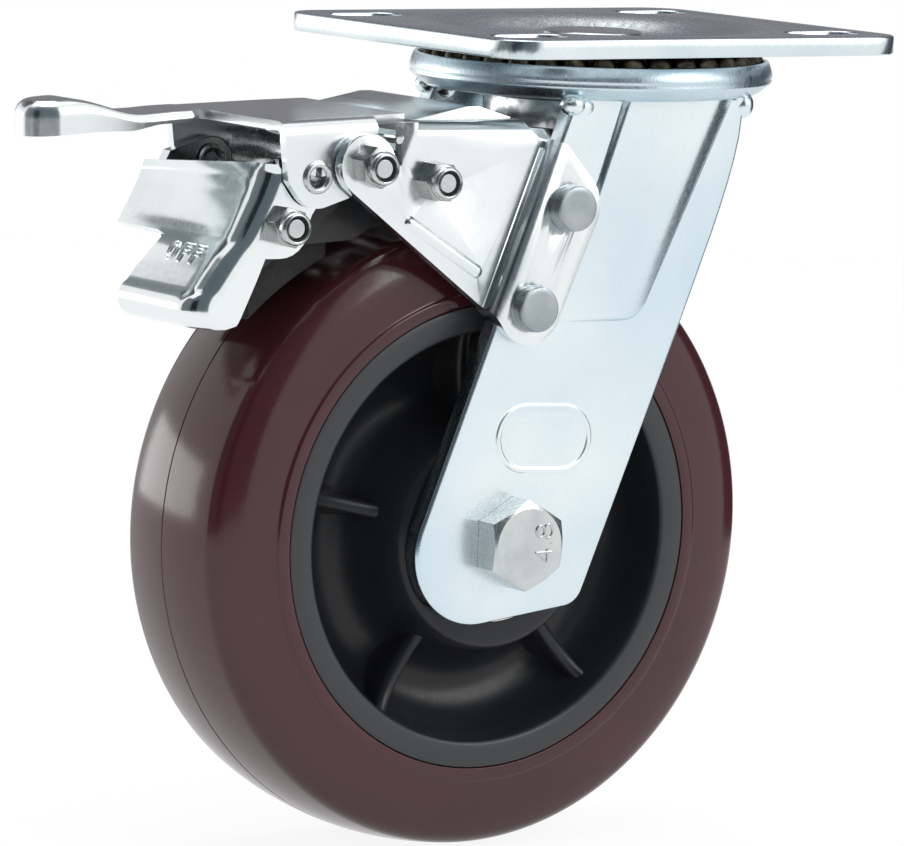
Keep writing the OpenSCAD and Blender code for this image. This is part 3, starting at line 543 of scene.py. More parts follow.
def lock_nut(name, point, base_y, way, body, turn, node):
    hexed = hex_body(point, NUT_AF, base_y, base_y + way * 5.2, NUT_FACE_R, turn)
    obj = piece(name, *hexed, body, nut_zinc, "fastener_steel", [node], crease=25)
    edge_break(obj, 0.12, limit=24, merge_flats=False)
    piece(name + "_collar", *collar(point, base_y, way), body, bright, "fastener_steel", crease=40)
    piece(name + "_insert", *nylon_ring(point, base_y, way), body, insert_nylon, "fastener_steel")


def cross_bolt(name, point, grip_y, body, node, turn):
    """A hex bolt from the far side. Its threaded end fills the lock nut on the near side."""
    thread_y = 0.4 - grip_y
    head = hex_body(point, NUT_AF, grip_y, grip_y + 4.0, NUT_FACE_R, turn)
    shank = turned([(0, grip_y), (BOLT_R, grip_y), (BOLT_R, thread_y), (0, thread_y)], point, 40)
    thread = threaded(point, BOLT_R, thread_y, -grip_y - NUT_H + 0.6, BOLT_PITCH)
    obj = piece(name, *joined(head, shank, thread), body, bright, "fastener_steel", [node], crease=25)
    edge_break(obj, 0.1, segments=1, limit=40, merge_flats=False)


for stem, pin, grip, body, turn in (("pedal", PEDAL_PIN, CHEEK_OUT, "fork", 8),
                                    ("shoe", SHOE_PIN, CHEEK_OUT, "fork", 26),
                                    ("lever", LEVER_PIN, LEVER_OUT, "lever", 14)):
    lock_nut(stem + "_lock_nut", pin, -grip, -1, body, turn, stem + "_nut")
    cross_bolt(stem + "_hex_bolt", pin, grip, body, stem + "_bolt", turn + 20)

# %% [markdown]
# ## The axle bolt and its nut
# The axle is an M12 hex bolt. Its far end shows a thread past a lock nut.

# %% Axle bolt and nut
AXLE_R = 6.0
AXLE_PITCH = 1.75
AXLE_AF = 19.0
AXLE_FACE_R = 8.9
HEAD_FACE_Y = -LEG_OUT - 7.5
NUT_TOP = LEG_OUT + 12.5
COLLAR_FOOT = LEG_OUT + 9.2
axle_head = hex_body(AXLE, AXLE_AF, -LEG_OUT - 0.05, HEAD_FACE_Y, AXLE_FACE_R, 0, 16)
axle_shank = turned([(0, -LEG_OUT), (AXLE_R, -LEG_OUT), (AXLE_R, LEG_OUT), (0, LEG_OUT)], AXLE, 64)
axle_thread = threaded(AXLE, AXLE_R, LEG_OUT, LEG_OUT + 14, AXLE_PITCH, 64)
axle_bolt = piece("axle_hex_bolt", *joined(axle_head, axle_shank, axle_thread), "fork", bright,
                  "fastener_steel", ["axle_bolt"], crease=25)
axle_hex = hex_body(AXLE, AXLE_AF, LEG_OUT, LEG_OUT + 9.4, AXLE_FACE_R, 11, 16, base_chamfer=True)
axle_collar = turned([(8.8, COLLAR_FOOT), (8.85, NUT_TOP - 1.6), (8.5, NUT_TOP - 0.7), (7.9, NUT_TOP - 0.15),
                      (7.3, NUT_TOP), (6.9, NUT_TOP - 0.3), (6.75, NUT_TOP - 1.0), (6.75, COLLAR_FOOT)],
                     AXLE, 72)
axle_nut = piece("axle_lock_nut", *joined(axle_hex, axle_collar), "fork", bright, "fastener_steel",
                 ["axle_nut"], crease=25)
for fastener in (axle_bolt, axle_nut):
    edge_break(fastener, 0.16, limit=24, merge_flats=False)
axle_ring = turned([(6.9, NUT_TOP - 3.0), (6.9, NUT_TOP - 0.9), (6.4, NUT_TOP - 0.6), (6.15, NUT_TOP - 0.9),
                    (6.08, NUT_TOP - 3.0)], AXLE, 64)
piece("axle_nut_insert", *axle_ring, "fork", insert_nylon, "fastener_steel")

# %% [markdown]
# ## Eyelet rivets
# A hollow rivet is a tube whose ends are rolled outwards, so its rim is a half ring. Two of
# them join the pedal's ears to the lever's walls.

# %% Eyelet rivets
def eyelet_rivet(side):
    out, inside = 26.5, 20.8
    rim = arc((3.05, out + 0.02), 0.85, 0, 180, 8)
    back_rim = arc((3.05, inside - 0.3), 0.62, 180, 360, 6)
    tube_wall = [(2.6, inside), (2.6, out), (3.9, out)] + rim[1:] + [(1.8, out - 1.0), (1.75, inside)]
    return turned([(r, side * h) for r, h in tube_wall + back_rim], EYELET, 48)


piece("eyelet_rivets_rolled", *joined(eyelet_rivet(-1), eyelet_rivet(1)), "pedal", bright, "fastener_steel",
      ["eyelet_rivets"])

# %% [markdown]
# ## Pressed sheet
# A blank is cut to an outline, and a press then pushes its face out. The outline gives rings
# that round the cut edge, more rings follow each pressed line so that it stays crisp, and a
# loose lattice fills the rest. A triangulation joins them all, and a height function presses.

# %% Outlines and distances
def spaced(outline, step):
    """The closed outline again, with points at most a step apart."""
    points = []
    for i, here in enumerate(outline):
        after = outline[(i + 1) % len(outline)]
        length = math.dist(here, after)
        parts = max(1, round(length / step))
        points += [tuple(a + (b - a) * k / parts for a, b in zip(here, after)) for k in range(parts)]
    return points


def hull(points):
    """The convex outline round some points, anticlockwise."""
    ordered = sorted(set(points))
    chains = []
    for run in (ordered, ordered[::-1]):
        chain = []
        for p in run:
            while len(chain) > 1 and ((chain[-1][0] - chain[-2][0]) * (p[1] - chain[-2][1])
                                      - (chain[-1][1] - chain[-2][1]) * (p[0] - chain[-2][0])) <= 1e-9:
                chain.pop()
            chain.append(p)
        chains += chain[:-1]
    return chains


def circle(centre, radius, steps=48):
    return arc(centre, radius, 0, 360 - 360 / steps, steps - 1)


def inset(outline, distance):
    """The outline moved inwards. It runs anticlockwise and its corners are round."""
    moved = []
    for i, here in enumerate(outline):
        before, after = outline[i - 1], outline[(i + 1) % len(outline)]
        run = Vector((after[0] - before[0], after[1] - before[1])).normalized()
        moved.append((here[0] - run.y * distance, here[1] + run.x * distance))
    return moved


def depth_inside(point, outline):
    """Distance from the outline, positive inside."""
    nearest, inside = 1e9, False
    x, y = point
    for i in range(len(outline)):
        (ax, ay), (bx, by) = outline[i - 1], outline[i]
        dx, dy = bx - ax, by - ay
        share = ((x - ax) * dx + (y - ay) * dy) / max(dx * dx + dy * dy, 1e-12)
        share = min(1.0, max(0.0, share))
        nearest = min(nearest, math.hypot(x - ax - share * dx, y - ay - share * dy))
        if (ay > y) != (by > y) and x < ax + dx * (y - ay) / dy:
            inside = not inside
    return nearest if inside else -nearest


def smooth_step(value):
    value = min(1.0, max(0.0, value))
    return value * value * (3 - 2 * value)


def filled(outline, extra, spacing):
    """Triangles that fill an outline, through extra points and a lattice."""
    coarse = outline[::3]
    xs, ys = [p[0] for p in outline], [p[1] for p in outline]
    points = list(outline) + [p for p in extra if depth_inside(p, coarse) > 0.35]
    taken = {(round(p[0] / spacing), round(p[1] / spacing)) for p in points}
    for i in range(int(min(xs) / spacing) - 1, int(max(xs) / spacing) + 2):
        for j in range(int(min(ys) / spacing) - 1, int(max(ys) / spacing) + 2):
            p = (i * spacing, j * spacing)
            if (i, j) not in taken and depth_inside(p, coarse) > 0.6 * spacing:
                points.append(p)
    n = len(outline)
    loop = [(i, (i + 1) % n) for i in range(n)]
    found = delaunay_2d_cdt([Vector(p) for p in points], loop, [], 1, 1e-4)
    return [tuple(p) for p in found[0]], found[2]


def flat_press(x, z):
    return 0.0


def pressed_plate(outline, face_y, back_y, edge_r, spacing, front=flat_press, back=flat_press, extra=()):
    """A plate in the XZ plane, pressed by front and back. The extra points go into its face."""
    sides = ((face_y, front, edge_r, -1, extra, spacing), (back_y, back, 0.4, 1, (), 2 * spacing))
    rings = []
    for y, press, r, toward, *_ in sides:
        side = []
        for out, down in quarter(3):
            ring = inset(outline, r * down)
            side.append([(x, y + toward * r * out + press(x, z), z) for x, z in ring])
        rings.append(side)
    order = rings[1][::-1] + rings[0]
    parts = [([p for ring in order for p in ring], grid_faces(len(order), len(outline)))]
    for side, (y, press, _, _, through, gap) in zip(rings, sides):
        inner, triangles = filled([(x, z) for x, _, z in side[-1]], through, gap)
        parts.append(([(x, y + press(x, z), z) for x, z in inner], triangles))
    return joined(*parts)

# %% [markdown]
# ## The fork
# The fork is one heavy pressing: a round crown that holds the ball race, and two legs that
# reach down to the axle. Each leg is pressed outwards at its top, in a swelling that follows
# the crown's curve and dies out towards the axle. Below it lies a plain oval with a double
# line. Small lumps of metal stand where the legs meet the crown. The crown's rim is finished on
# a lathe and keeps the marks of the tool.

# %% The leg's outline and its pressed forms
LEG_TOP = -13.55
foot = circle((-49.5, -121.2), 17.0, 96) + circle((-25.0, -129.3), 6.0, 48)
right_edge = [(22.6, LEG_TOP), (22.3, -19.0), (21.7, -24.5), (20.5, -30.0), (18.9, -35.5), (16.9, -41.5),
              (14.6, -47.8), (7.0, -67.05)]
leg_outline = spaced(hull(foot + right_edge + [(-25.4, LEG_TOP)]), 1.2)
swelling = spaced(rounded([(-10.6, -10.0), (-30.6, -67.7), (-6.2, -67.7, 7.0), (21.4, -10.0)], 1.0, 8), 0.8)
OVAL = (-32.0, -94.9)
OVAL_TILT = math.radians(-2.6)
OVAL_HALF = (13.3, 8.0)
reach = OVAL_HALF[0] - OVAL_HALF[1]
oval_ends = arc((reach, 0), OVAL_HALF[1], -90, 90, 20) + arc((-reach, 0), OVAL_HALF[1], 90, 270, 20)
oval_line = spaced([rotated(x, z, OVAL, OVAL_TILT) for x, z in oval_ends], 0.7)
BULGE = ((0.0, 0.28), (0.1, 0.40), (0.3, 0.58), (0.5, 0.78), (0.62, 0.92), (0.7, 1.0), (0.76, 0.98),
         (0.82, 0.86), (0.88, 0.66), (0.94, 0.40), (1.0, 0.12))


def bulge(share):
    """The swelling's section from its left line to its right line, as a smooth curve."""
    share = min(1.0, max(0.0, share))
    for i, ((a, low), (b, high)) in enumerate(zip(BULGE, BULGE[1:])):
        if share <= b:
            before = BULGE[max(i - 1, 0)]
            after = BULGE[min(i + 2, len(BULGE) - 1)]
            in_slope = (high - before[1]) / (b - before[0])
            out_slope = (after[1] - low) / (after[0] - a)
            t, run = (share - a) / (b - a), b - a
            return (low * (1 + 2 * t) * (1 - t) ** 2 + in_slope * run * t * (1 - t) ** 2
                    + high * t * t * (3 - 2 * t) + out_slope * run * t * t * (t - 1))
    return BULGE[-1][1]


SWELL_TOP = -12.5
SWELL_HEIGHT = 55.2


def leg_lift(x, z, soft=0.9):
    """How far the leg's sheet is pressed out. The swelling's edge is as wide as soft."""
    below = SWELL_TOP - z
    down = min(1.0, max(0.0, below / SWELL_HEIGHT))
    left, right_line = -11.5 - 0.347 * below, 20.2 - 0.478 * below
    depth = depth_inside((x, z), swelling)
    lift = 0.0
    if depth > -0.2:
        height = 1.5 + 2.9 * (1 - down)
        lift = height * bulge((x - left) / (right_line - left)) * smooth_step((depth + 0.15) / soft)
    if soft < 1 and abs(x - OVAL[0]) < 15 and abs(z - OVAL[1]) < 10:
        line = depth_inside((x, z), oval_line)
        lift += 0.22 * smooth_step((line + 0.25) / 0.35) * (1 - smooth_step((line - 0.95) / 0.35))
        lift += 0.06 * smooth_step((line - 2.0) / 0.5)
    return lift


SWELL_RINGS = (-0.5, -0.15, 0.15, 0.45, 0.8, 1.3, 2.0)
OVAL_RINGS = (-0.5, -0.25, -0.05, 0.1, 0.4, 0.95, 1.15, 1.3, 1.6, 2.0, 2.3, 2.6)
lines = [p for d in SWELL_RINGS for p in inset(swelling, d)]
lines += [p for d in OVAL_RINGS for p in inset(oval_line, d)]


def leg_hollow(x, z):
    return 0.85 * leg_lift(x, z, 3.5)


def leg(side):
    return flipped(pressed_plate(leg_outline, LEG_OUT, LEG_IN, 0.9, 1.6, leg_lift, leg_hollow, lines), side)


def lump(centre, size):
    """A lump of gathered metal: a ball drawn out along three axes."""
    rings, sides = 13, 20
    points = []
    for i in range(rings):
        tilt = math.pi * i / (rings - 1)
        for k in range(sides):
            a = 2 * math.pi * k / sides
            ball = (math.sin(tilt) * math.cos(a), math.sin(tilt) * math.sin(a), math.cos(tilt))
            points.append(tuple(c + s * b for c, s, b in zip(centre, size, ball)))
    return points, grid_faces(rings, sides)


lumps = [lump((x, side * y, z), size) for side in (-1, 1)
         for x, y, z, size in ((-26.2, 31.2, -16.6, (3.2, 3.0, 2.8)), (-23.2, 29.6, -17.2, (3.8, 3.6, 3.2)),
                               (22.8, 30.6, -17.4, (2.9, 3.0, 3.4)), (20.6, 29.8, -16.0, (3.4, 3.4, 2.8)))]
piece("fork_legs", *joined(leg(-1), leg(1), *lumps), "fork", zinc_blue, "zinc_steel", ["fork"], crease=50)
crown = [(8.35, -15.8), (37.8, -15.8), (39.6, -15.5), (41.0, -14.7), (42.2, -13.6), (42.9, -13.1),
         (43.35, -12.7), (43.5, -12.3), (43.3, -11.95), (43.55, -11.3), (43.6, -10.8), (43.3, -9.6),
         (42.9, -8.5), (42.65, -7.9), (42.4, -7.65), (42.0, -7.58), (41.65, -7.65), (41.5, -7.9),
         (41.5, -11.3), (8.35, -11.3)]
piece("fork_crown", *turned(crown, (0, 0), 256, "Z"), "fork", zinc_edge, "zinc_steel", crease=60)
# A dark ring of grease and painted shade inside the crown's rim, so the gap under the plate stays dark as if
# in shadow.
grease_and_shade_profile = [(8.4, -11.2), (41.45, -11.2), (41.45, -8.1), (41.3, -8.1), (41.3, -11.1), (8.4, -11.1)]
piece("fork_race_grease_and_painted_shade", *turned(grease_and_shade_profile, (0, 0), 128, "Z"), "fork", grease_and_painted_shade, "ball_steel", crease=60)

# %% [markdown]
# ## Folded and drawn sheet
# The pedal and the lever are folded from flat sheet. Each is drawn here as its outer skin: a
# grid of points that follows the face, rounds the fold and runs down the side. The sheet's
# thickness is then given to the whole skin at once, as real sheet has it everywhere.

# %% Sheets and tubes
def sheet(obj, thickness):
    solid = obj.modifiers.new("sheet", "SOLIDIFY")
    solid.thickness = thickness * MM
    solid.offset = -1
    edge_break(obj, 0.35, limit=60, merge_flats=False)


def lengths_to(path):
    """How far along an open path each of its points lies."""
    lengths = [0.0]
    for a, b in zip(path, path[1:]):
        lengths.append(lengths[-1] + math.dist(a, b))
    return lengths


def along(path, count):
    """Evenly spaced points on an open path."""
    lengths = lengths_to(path)
    points, i = [], 0
    for k in range(count):
        reach = lengths[-1] * k / (count - 1)
        while i < len(path) - 2 and lengths[i + 1] < reach:
            i += 1
        share = (reach - lengths[i]) / max(lengths[i + 1] - lengths[i], 1e-9)
        points.append(between(path[i], path[i + 1], share))
    return points


def tube(path, radius, sides=8, closed=False):
    """A round wire along a path of points in space."""
    path = [Vector(p) for p in path]
    points = []
    normal = None
    for i, here in enumerate(path):
        before = path[i - 1] if closed or i else here
        after = path[(i + 1) % len(path)] if closed or i < len(path) - 1 else here
        run = (after - before).normalized()
        if normal is None:
            normal = run.orthogonal().normalized()
        normal = (normal - run * normal.dot(run)).normalized()
        other = run.cross(normal)
        for k in range(sides):
            a = 2 * math.pi * k / sides
            points.append(tuple(here + (normal * math.cos(a) + other * math.sin(a)) * radius))
    faces = grid_faces(len(path), sides)
    if closed:
        last = (len(path) - 1) * sides
        faces += [(last + k, last + (k + 1) % sides, (k + 1) % sides, k) for k in range(sides)]
    else:
        faces += [tuple(range(sides)), tuple(range((len(path) - 1) * sides, len(path) * sides))]
    return points, faces

# %% [markdown]
# ## The ON pedal
# Its plate folds down into two ears that hang on the pedal bolt. A tongue reaches forward from
# the far corner, rises in a soft curve for the foot and has its edge turned down all round.

# %% ON pedal
PEDAL_TOP = -19.2
LEAN = math.radians(1.9)
FRONT_X = -101.6
FOLD_Y = 26.5


def leaned(p):
    """The pedal's tilt about its pin, so that its tip stands a little lower."""
    x, z = rotated(p[0] - PEDAL_PIN[0], p[2] - PEDAL_PIN[1], PEDAL_PIN, LEAN)
    return (x, p[1], z)


def tongue_rise(x):
    return 4.2 * smooth_step((-117.0 - x) / 20.0) - 0.3 * smooth_step((-106 - x) / 10.0)


EAR_BACK_X = -76.5
EAR_TOP = -24.0
EAR_HOLE = (-92.6, -32.9)
TONGUE_Y = 9.7
ear = hull(circle(EAR_HOLE, 6.6, 60) + circle(PEDAL_PIN, 6.5, 60)
           + [(FRONT_X, EAR_TOP), (FRONT_X + 0.9, -33.0), (EAR_BACK_X, EAR_TOP)])
ear_low = sorted([p for p in spaced(ear, 0.5) if p[1] < EAR_TOP - 0.2],
                 key=lambda p: -math.atan2(p[1] - EAR_TOP, p[0] + 89))
ear_low = along([(EAR_BACK_X, EAR_TOP)] + ear_low + [(FRONT_X, EAR_TOP)], 70)
ear_high = along([(EAR_BACK_X, FOLD_Y), (FRONT_X, FOLD_Y)], 70)
tongue_plan = along([(FRONT_X - 0.3, FOLD_Y), (-124.0, FOLD_Y)]
                    + rounded([(-124.0, FOLD_Y, 0), (-139.5, FOLD_Y - 0.6, 16.0), (-147.0, 20.5, 8.0),
                               (-146.4, 12.4, 5.5), (-140.0, TONGUE_Y, 4.5), (-112.0, TONGUE_Y, 0)], 6.0, 10)
                    + [(FRONT_X - 2.6, TONGUE_Y)], 130)
EAR_FOLD_R = 3.2
skin = [(*high, EAR_FOLD_R, *low) for high, low in zip(ear_high, ear_low)]
near_ear = [(x, -y, *rest) for x, y, *rest in skin[::-1]]
for x, y in tongue_plan:
    near_tip = smooth_step((-124.0 - x) / 16.0)
    skin.append((x, y, 2.2 - 0.1 * smooth_step((-103 - x) / 8) + 1.6 * near_tip, x,
                 PEDAL_TOP - 2.7 - 1.5 * smooth_step((-112 - x) / 10) + 0.25 * math.sin(x / 5.5)))
DOWN_ROWS = 7


def skin_columns(columns):
    """For each outline point, points from the flat face round the fold and down the side."""
    rows = []
    for i, (x, y, r, low_x, low_z) in enumerate(columns):
        before, after = columns[max(i - 1, 0)], columns[min(i + 1, len(columns) - 1)]
        run = Vector((after[0] - before[0], after[1] - before[1])).normalized()
        top = PEDAL_TOP + tongue_rise(x)
        column = []
        for out, down in quarter(6):
            column.append((x - run.y * r * out, y + run.x * r * out, top - r * down))
        foot = column[-1]
        for k in range(1, DOWN_ROWS + 1):
            share = k / DOWN_ROWS
            column.append((foot[0] + (low_x - x) * share, foot[1], foot[2] + (low_z - foot[2]) * share))
        rows.append(column)
    return rows


def without_hole(points, faces, centre, radius):
    """Leaves out the faces inside a round hole along Y. The rivet's rolled rim hides its edge."""
    return [f for f in faces if any(math.hypot(points[i][0] - centre[0], points[i][2] - centre[1]) > radius
                                    for i in f)]


def skin_mesh(rows):
    points = [p for column in rows for p in column]
    faces = grid_faces(len(rows), len(rows[0]), closed=False)
    return points, without_hole(points, faces, EAR_HOLE, 3.5)


far_rows = skin_columns(skin)
near_rows = skin_columns(near_ear)
plate_edge = ([(-66.7, -22.2), (-66.7, 22.2), (-76.3, 23.1)] + [column[0][:2] for column in far_rows]
              + [(FRONT_X - 0.7, 9.3), (FRONT_X, 7.6)] + [column[0][:2] for column in near_rows]
              + [(-76.3, -23.1)])
inner, triangles = filled(spaced(plate_edge, 2.0), [], 2.0)
top_mesh = [(x, y, PEDAL_TOP + tongue_rise(x)) for x, y in inner], triangles
pedal_points, pedal_faces = joined(top_mesh, skin_mesh(far_rows), skin_mesh(near_rows))
on_pedal = piece("on_pedal_folded", [leaned(p) for p in pedal_points], pedal_faces, "pedal", zinc,
                 "zinc_steel", ["on_pedal"], crease=50)
sheet(on_pedal, 2.2)

# %% [markdown]
# ## The OFF lever
# A slightly hollow panel folds back into a wall on the near side. Below it the near half goes
# on as a tread with a rolled lip. Its word, OFF, is embossed in outline, so that a foot knows
# which way to push.

# %% OFF lever
LEVER_FOLD = 6.0
FAR_Y = 26.3  # the panel's far edge
TREAD_Y_FAR = 9.0  # the tread's far edge
panel_line = [(-103.0, -27.1), (-104.6, -31.6), (-106.9, -37.2), (-109.3, -41.9), (-112.3, -47.5)]
tread_line = [(-115.4, -50.6), (-118.0, -53.8), (-120.3, -57.0)] + arc((-119.7, -62.9), 4.5, 116, 285, 14)
panel_rows, tread_rows = 26, 30
front_line = along(panel_line, panel_rows) + along([panel_line[-1]] + tread_line, tread_rows)[1:]
wall_back = ([(-101.4, -28.6), (-98.5, -27.6)] + arc(EYELET, 5.5, 100, -40, 10)
             + arc(LEVER_PIN, 7.6, 10, -95, 10) + [(-104.4, -51.4)])
tread_back = [(-104.4, -51.4), (-106.6, -56.5), (-109.0, -61.6), (-110.6, -65.0), (-111.5, -66.5),
              (-112.8, -67.2)]
back_line = along(wall_back, panel_rows) + along(tread_back, tread_rows)[1:]
WALL_END = panel_rows + 26  # the row where the lip curls past the wall's lower edge


def lever_point(row, y):
    """A point of the front skin. The far side stands forward, and its top edge falls."""
    x, z = front_line[row]
    far = (y + LEVER_OUT) / 50.1
    if row < panel_rows:
        drop = (2.2 + 3.6 * far) * smooth_step((z + 37.2) / 10.1)
        x, z = x - drop * 0.42, z - drop
    lean = -2.5 * far * (1 - smooth_step((-47.5 - z) / 7))
    hollow = 0.5 * math.sin(math.pi * min(max(far, 0), 1)) * (1 - smooth_step((-44 - z) / 4))
    return (x + lean + hollow, y, z)


FOLD_START = LEVER_FOLD - LEVER_OUT
PANEL_ONLY = 10  # columns beyond the tread's far edge
lever_columns = ([FAR_Y + (TREAD_Y_FAR - FAR_Y) * k / PANEL_ONLY for k in range(PANEL_ONLY + 1)]
                 + [TREAD_Y_FAR + (FOLD_START - TREAD_Y_FAR) * k / 14 for k in range(1, 15)])


def lever_line(row):
    """One row of the skin, from the far edge over the face, round the fold and back along the wall."""
    tread_share = max(0, row - panel_rows + 1) / (tread_rows - 1)
    cut = 3.8 * (1 - smooth_step(tread_share * 2.2))
    narrow = 1 - cut / (TREAD_Y_FAR - FOLD_START)
    line = []
    for k, y in enumerate(lever_columns):
        if row >= panel_rows and k >= PANEL_ONLY:
            y = FOLD_START + (y - FOLD_START) * narrow
        line.append(lever_point(row, y))
    x, _, z = lever_point(row, FOLD_START)
    back_x, back_z = back_line[row]
    fold_x = min(LEVER_FOLD, 0.7 * (back_x - x))
    line += [(x + fold_x * down, LEVER_FOLD * out - LEVER_OUT, z) for out, down in quarter(6)[1:]]
    return line + [between(line[-1], (back_x, -LEVER_OUT, back_z), k / 9) for k in range(1, 10)]


lever_rows = [lever_line(row) for row in range(panel_rows + tread_rows - 1)]
width = len(lever_rows[0])
points = [p for line in lever_rows for p in line]
faces = []
for row in range(len(lever_rows) - 1):
    first = PANEL_ONLY if row >= panel_rows - 1 else 0
    last = len(lever_columns) - 1 if row >= WALL_END else width - 1
    faces += [(a, a + 1, a + width + 1, a + width) for a in range(row * width + first, row * width + last)]
faces = without_hole(points, faces, EYELET, 3.6)
off_lever = piece("off_lever_folded", points, faces, "lever", smooth, "zinc_steel", ["off_lever"], crease=50)
sheet(off_lever, 2.3)
far_wall = hull(circle(EYELET, 5.5, 40) + circle(LEVER_PIN, 7.2, 40)
                + [(-104.2, -30.5), (-108.0, -38.0), (-113.0, -47.0), (-106.0, -48.0)])
far_mesh = flipped(pressed_plate(spaced(far_wall, 1.0), -LEVER_OUT, 2.5 - LEVER_OUT, 0.4, 3.0), -1)
piece("off_lever_far_wall", *far_mesh, "lever", zinc, "zinc_steel", crease=40)

# %% The word OFF
WORD_START_Y = -0.4


def on_tread(across, down):
    """A point on the tread. Across runs to the right as it is read, down is along the sheet."""
    y = WORD_START_Y - across
    reach = lengths_to(front_line[panel_rows - 1:])
    for i in range(len(reach) - 1):
        if down <= reach[i + 1]:
            share = (down - reach[i]) / (reach[i + 1] - reach[i])
            return between(lever_point(panel_rows - 1 + i, y), lever_point(panel_rows + i, y), share)


def letter(outline, left):
    return tube([on_tread(left + x, y) for x, y in outline], 0.32, 8, True)


def ellipse(centre, half_width, half_height, steps):
    angles = [2 * math.pi * k / steps for k in range(steps)]
    return [(centre[0] + half_width * math.cos(a), centre[1] + half_height * math.sin(a)) for a in angles]


O_CENTRE = (1.9, 5.0)
outer, inner = ellipse(O_CENTRE, 1.9, 2.7, 32), ellipse(O_CENTRE, 0.9, 1.7, 24)
letter_f = spaced([(0, 7.7), (0, 2.3), (3.3, 2.3), (3.3, 3.3), (1.1, 3.3), (1.1, 4.4), (2.8, 4.4), (2.8, 5.4),
                   (1.1, 5.4), (1.1, 7.7)], 0.6)
word = joined(letter(outer, 0.0), letter(inner, 0.0), letter(letter_f, 5.6), letter(letter_f, 10.6))
piece("off_lever_word", *word, "lever", zinc, "zinc_steel", crease=60)

# %% [markdown]
# ## Bracket rivets
# Four solid rivets hold the bracket to the legs. Each head is a short cylinder with a flat
# face, and the tool that set it left two fine steps round the rim.

# %% Turned rivets
RIVETS = ((-29.3, -40.2), (-39.1, -63.5))
head = [(0, 39.9), (3.9, 39.9), (4.7, 39.85), (5.1, 39.7), (5.3, 39.35), (5.36, 38.6), (5.42, 38.2),
        (5.42, 37.5), (5.5, 37.3), (5.55, 36.6), (5.5, 35.55), (4.0, 35.5), (4.0, 27.5), (4.9, 27.4),
        (4.9, 26.2), (4.4, 25.8), (0, 25.7)]
rivets = [turned([(r, side * h) for r, h in head], point, 56) for point in RIVETS for side in (-1, 1)]
piece("bracket_rivets_turned", *joined(*rivets), "fork", dull, "fastener_steel", ["bracket_rivets"],
      crease=18)

# %% [markdown]
# ## The strength number
# The head of an M12 bolt of class 4.8 says so in plain raised figures, read from the bottom up.

# %% Figures on the bolt head
def figure(strokes, start, closed):
    tubes = []
    for stroke in strokes:
        path = [(-33.8 - 4.4 * v, HEAD_FACE_Y - 0.02, start + 3.3 * u) for u, v in stroke]
        tubes.append(tube(path, 0.3, 8, closed))
    return joined(*tubes)


four = [[(0.72, 0.0), (0.72, 1.0)], [(0.72, 1.0), (0.0, 0.3), (1.0, 0.3)]]
eight = [ellipse((0.5, 0.74), 0.42, 0.26, 16), ellipse((0.5, 0.24), 0.5, 0.26, 16)]
dot = [[(0.0, 0.03), (0.1, 0.03)]]
piece("axle_bolt_figures", *joined(figure(four, -122.9, False), figure(dot, -118.6, False),
                                   figure(eight, -117.2, True)), "fork", bright, "fastener_steel", crease=60)

# %% [markdown]
# ## The studio
# The castor stands on a white floor. Camera, glossy and transmission rays see the white
# backdrop, while the light that falls on the object comes from a dimmer sky and soft lamps.
# Bright metal shows what stands around it, so dark cards give the zinc its grey bands, as in
# a product studio. Cards and floor aren't part of the object.

# %% World, floor, cards and lamps
FLOOR_Z = -195.0
CARD_CENTRE = (-40, 0, -60)
LAMP_TARGET = (-40, 0, -90)


def seen_directly(tree):
    """One for camera, glossy and transmission rays, and zero for the light that falls on things."""
    path = add(tree, "ShaderNodeLightPath")
    either = path.outputs["Is Camera Ray"]
    for other in ("Is Glossy Ray", "Is Transmission Ray"):
        rays = {0: either, 1: path.outputs[other]}
        either = add(tree, "ShaderNodeMath", rays, operation="MAXIMUM").outputs[0]
    return either


world = bpy.data.worlds.new("studio")
scene.world = world
world.use_nodes = True
sky = world.node_tree
sky.nodes.clear()
dim = add(sky, "ShaderNodeBackground", {"Color": (0.95, 0.97, 1.0, 1), "Strength": 0.62})
white = add(sky, "ShaderNodeBackground", {"Color": (1, 1, 1, 1), "Strength": 1.0})
either_sky = add(sky, "ShaderNodeMixShader", {0: seen_directly(sky), 1: dim.outputs[0], 2: white.outputs[0]})
add(sky, "ShaderNodeOutputWorld", {"Surface": either_sky.outputs[0]})


def stage_sheet(name, corners, material_name):
    """One flat face that isn't part of the object, with an empty material to fill."""
    mesh = bpy.data.meshes.new(name)
    mesh.from_pydata([Vector(c) * MM for c in corners], [], [tuple(range(len(corners)))])
    obj = bpy.data.objects.new(name, mesh)
    scene.collection.objects.link(obj)
    material = bpy.data.materials.new(material_name)
    material.use_nodes = True
    material.node_tree.nodes.clear()
    mesh.materials.append(material)
    return obj, material.node_tree


def studio_floor():
    ring = [(x, y, FLOOR_Z) for x, y in circle((0, 0), 1400, 72)]
    _, tree = stage_sheet("floor", ring, "floor_white")
    matt = add(tree, "ShaderNodeBsdfDiffuse", {"Color": (0.9, 0.9, 0.9, 1)})
    glow = add(tree, "ShaderNodeEmission", {"Color": (1, 1, 1, 1), "Strength": 1.05})
    share = add(tree, "ShaderNodeMath", {0: seen_directly(tree), 1: 0.86}, operation="MULTIPLY").outputs[0]
    mixed = add(tree, "ShaderNodeMixShader", {0: share, 1: matt.outputs[0], 2: glow.outputs[0]})
    add(tree, "ShaderNodeOutputMaterial", {"Surface": mixed.outputs[0]})


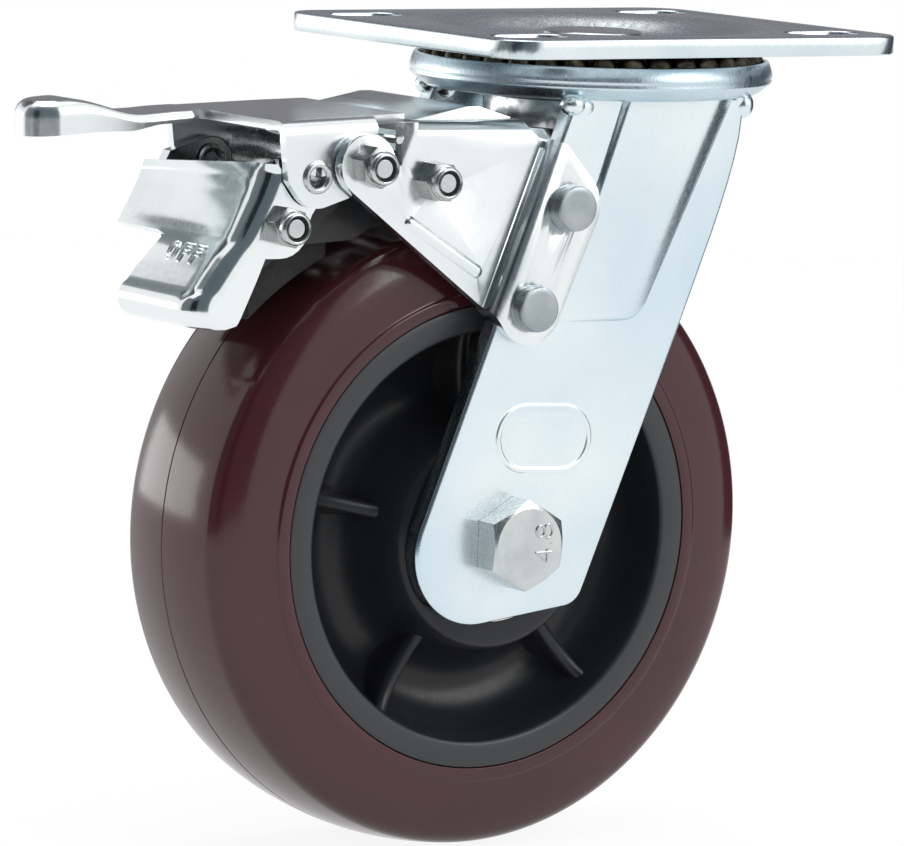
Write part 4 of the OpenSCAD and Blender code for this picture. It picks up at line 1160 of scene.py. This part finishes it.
def card(name, azimuth, spread, low, high, distance, shade):
    """A card that only reflections see. Azimuth runs from -Y to -X. All angles are in degrees."""
    a = math.radians(azimuth)
    towards, side = Vector((-math.sin(a), -math.cos(a), 0)), Vector((math.cos(a), -math.sin(a), 0))
    half = side * distance * math.tan(math.radians(spread))
    middle = Vector(CARD_CENTRE) + towards * distance
    low, high = (Vector((0, 0, distance * math.tan(math.radians(e)))) for e in (low, high))
    corners = [middle - half + low, middle + half + low, middle + half + high, middle - half + high]
    obj, tree = stage_sheet(name, corners, name)
    glow = add(tree, "ShaderNodeEmission", {"Color": (*shade, 1), "Strength": 1.0})
    add(tree, "ShaderNodeOutputMaterial", {"Surface": glow.outputs[0]})
    obj.visible_camera = False
    obj.visible_diffuse = False
    obj.visible_shadow = False


def lamp(name, place, size, power):
    light = bpy.data.lights.new(name, "AREA")
    light.shape = "RECTANGLE"
    light.size, light.size_y = size
    light.energy = power
    obj = bpy.data.objects.new(name, light)
    obj.location = Vector(place)
    obj.rotation_mode = "QUATERNION"
    obj.rotation_quaternion = (Vector(LAMP_TARGET) * MM - obj.location).to_track_quat("-Z", "Y")
    scene.collection.objects.link(obj)


studio_floor()
card("card_dark", 57, 13, -8, 36, 850, (0.016, 0.019, 0.023))
card("card_front", 18, 22, -8, 70, 1000, (0.11, 0.135, 0.155))
card("card_left", 60, 20, -8, 70, 1010, (0.11, 0.14, 0.16))
card("card_far_left", 96, 17, -8, 50, 1000, (0.16, 0.18, 0.19))
card("card_right", -90, 22, -16.5, 50, 430, (0.05, 0.065, 0.08))
card("card_back", -147, 33, 1.0, 76, 1100, (0.21, 0.205, 0.225))
card("card_high", 156, 22, 27, 56, 1100, (0.22, 0.25, 0.26))
card("card_top", 156, 26, 34, 80, 1050, (0.05, 0.055, 0.06))
lamp("key", (0.7, -1.1, 0.7), (0.9, 0.9), 9)
lamp("top", (-0.1, 0.1, 1.3), (1.0, 1.0), 7)
lamp("rim", (-0.86, 1.27, 0.0), (0.9, 0.36), 3)
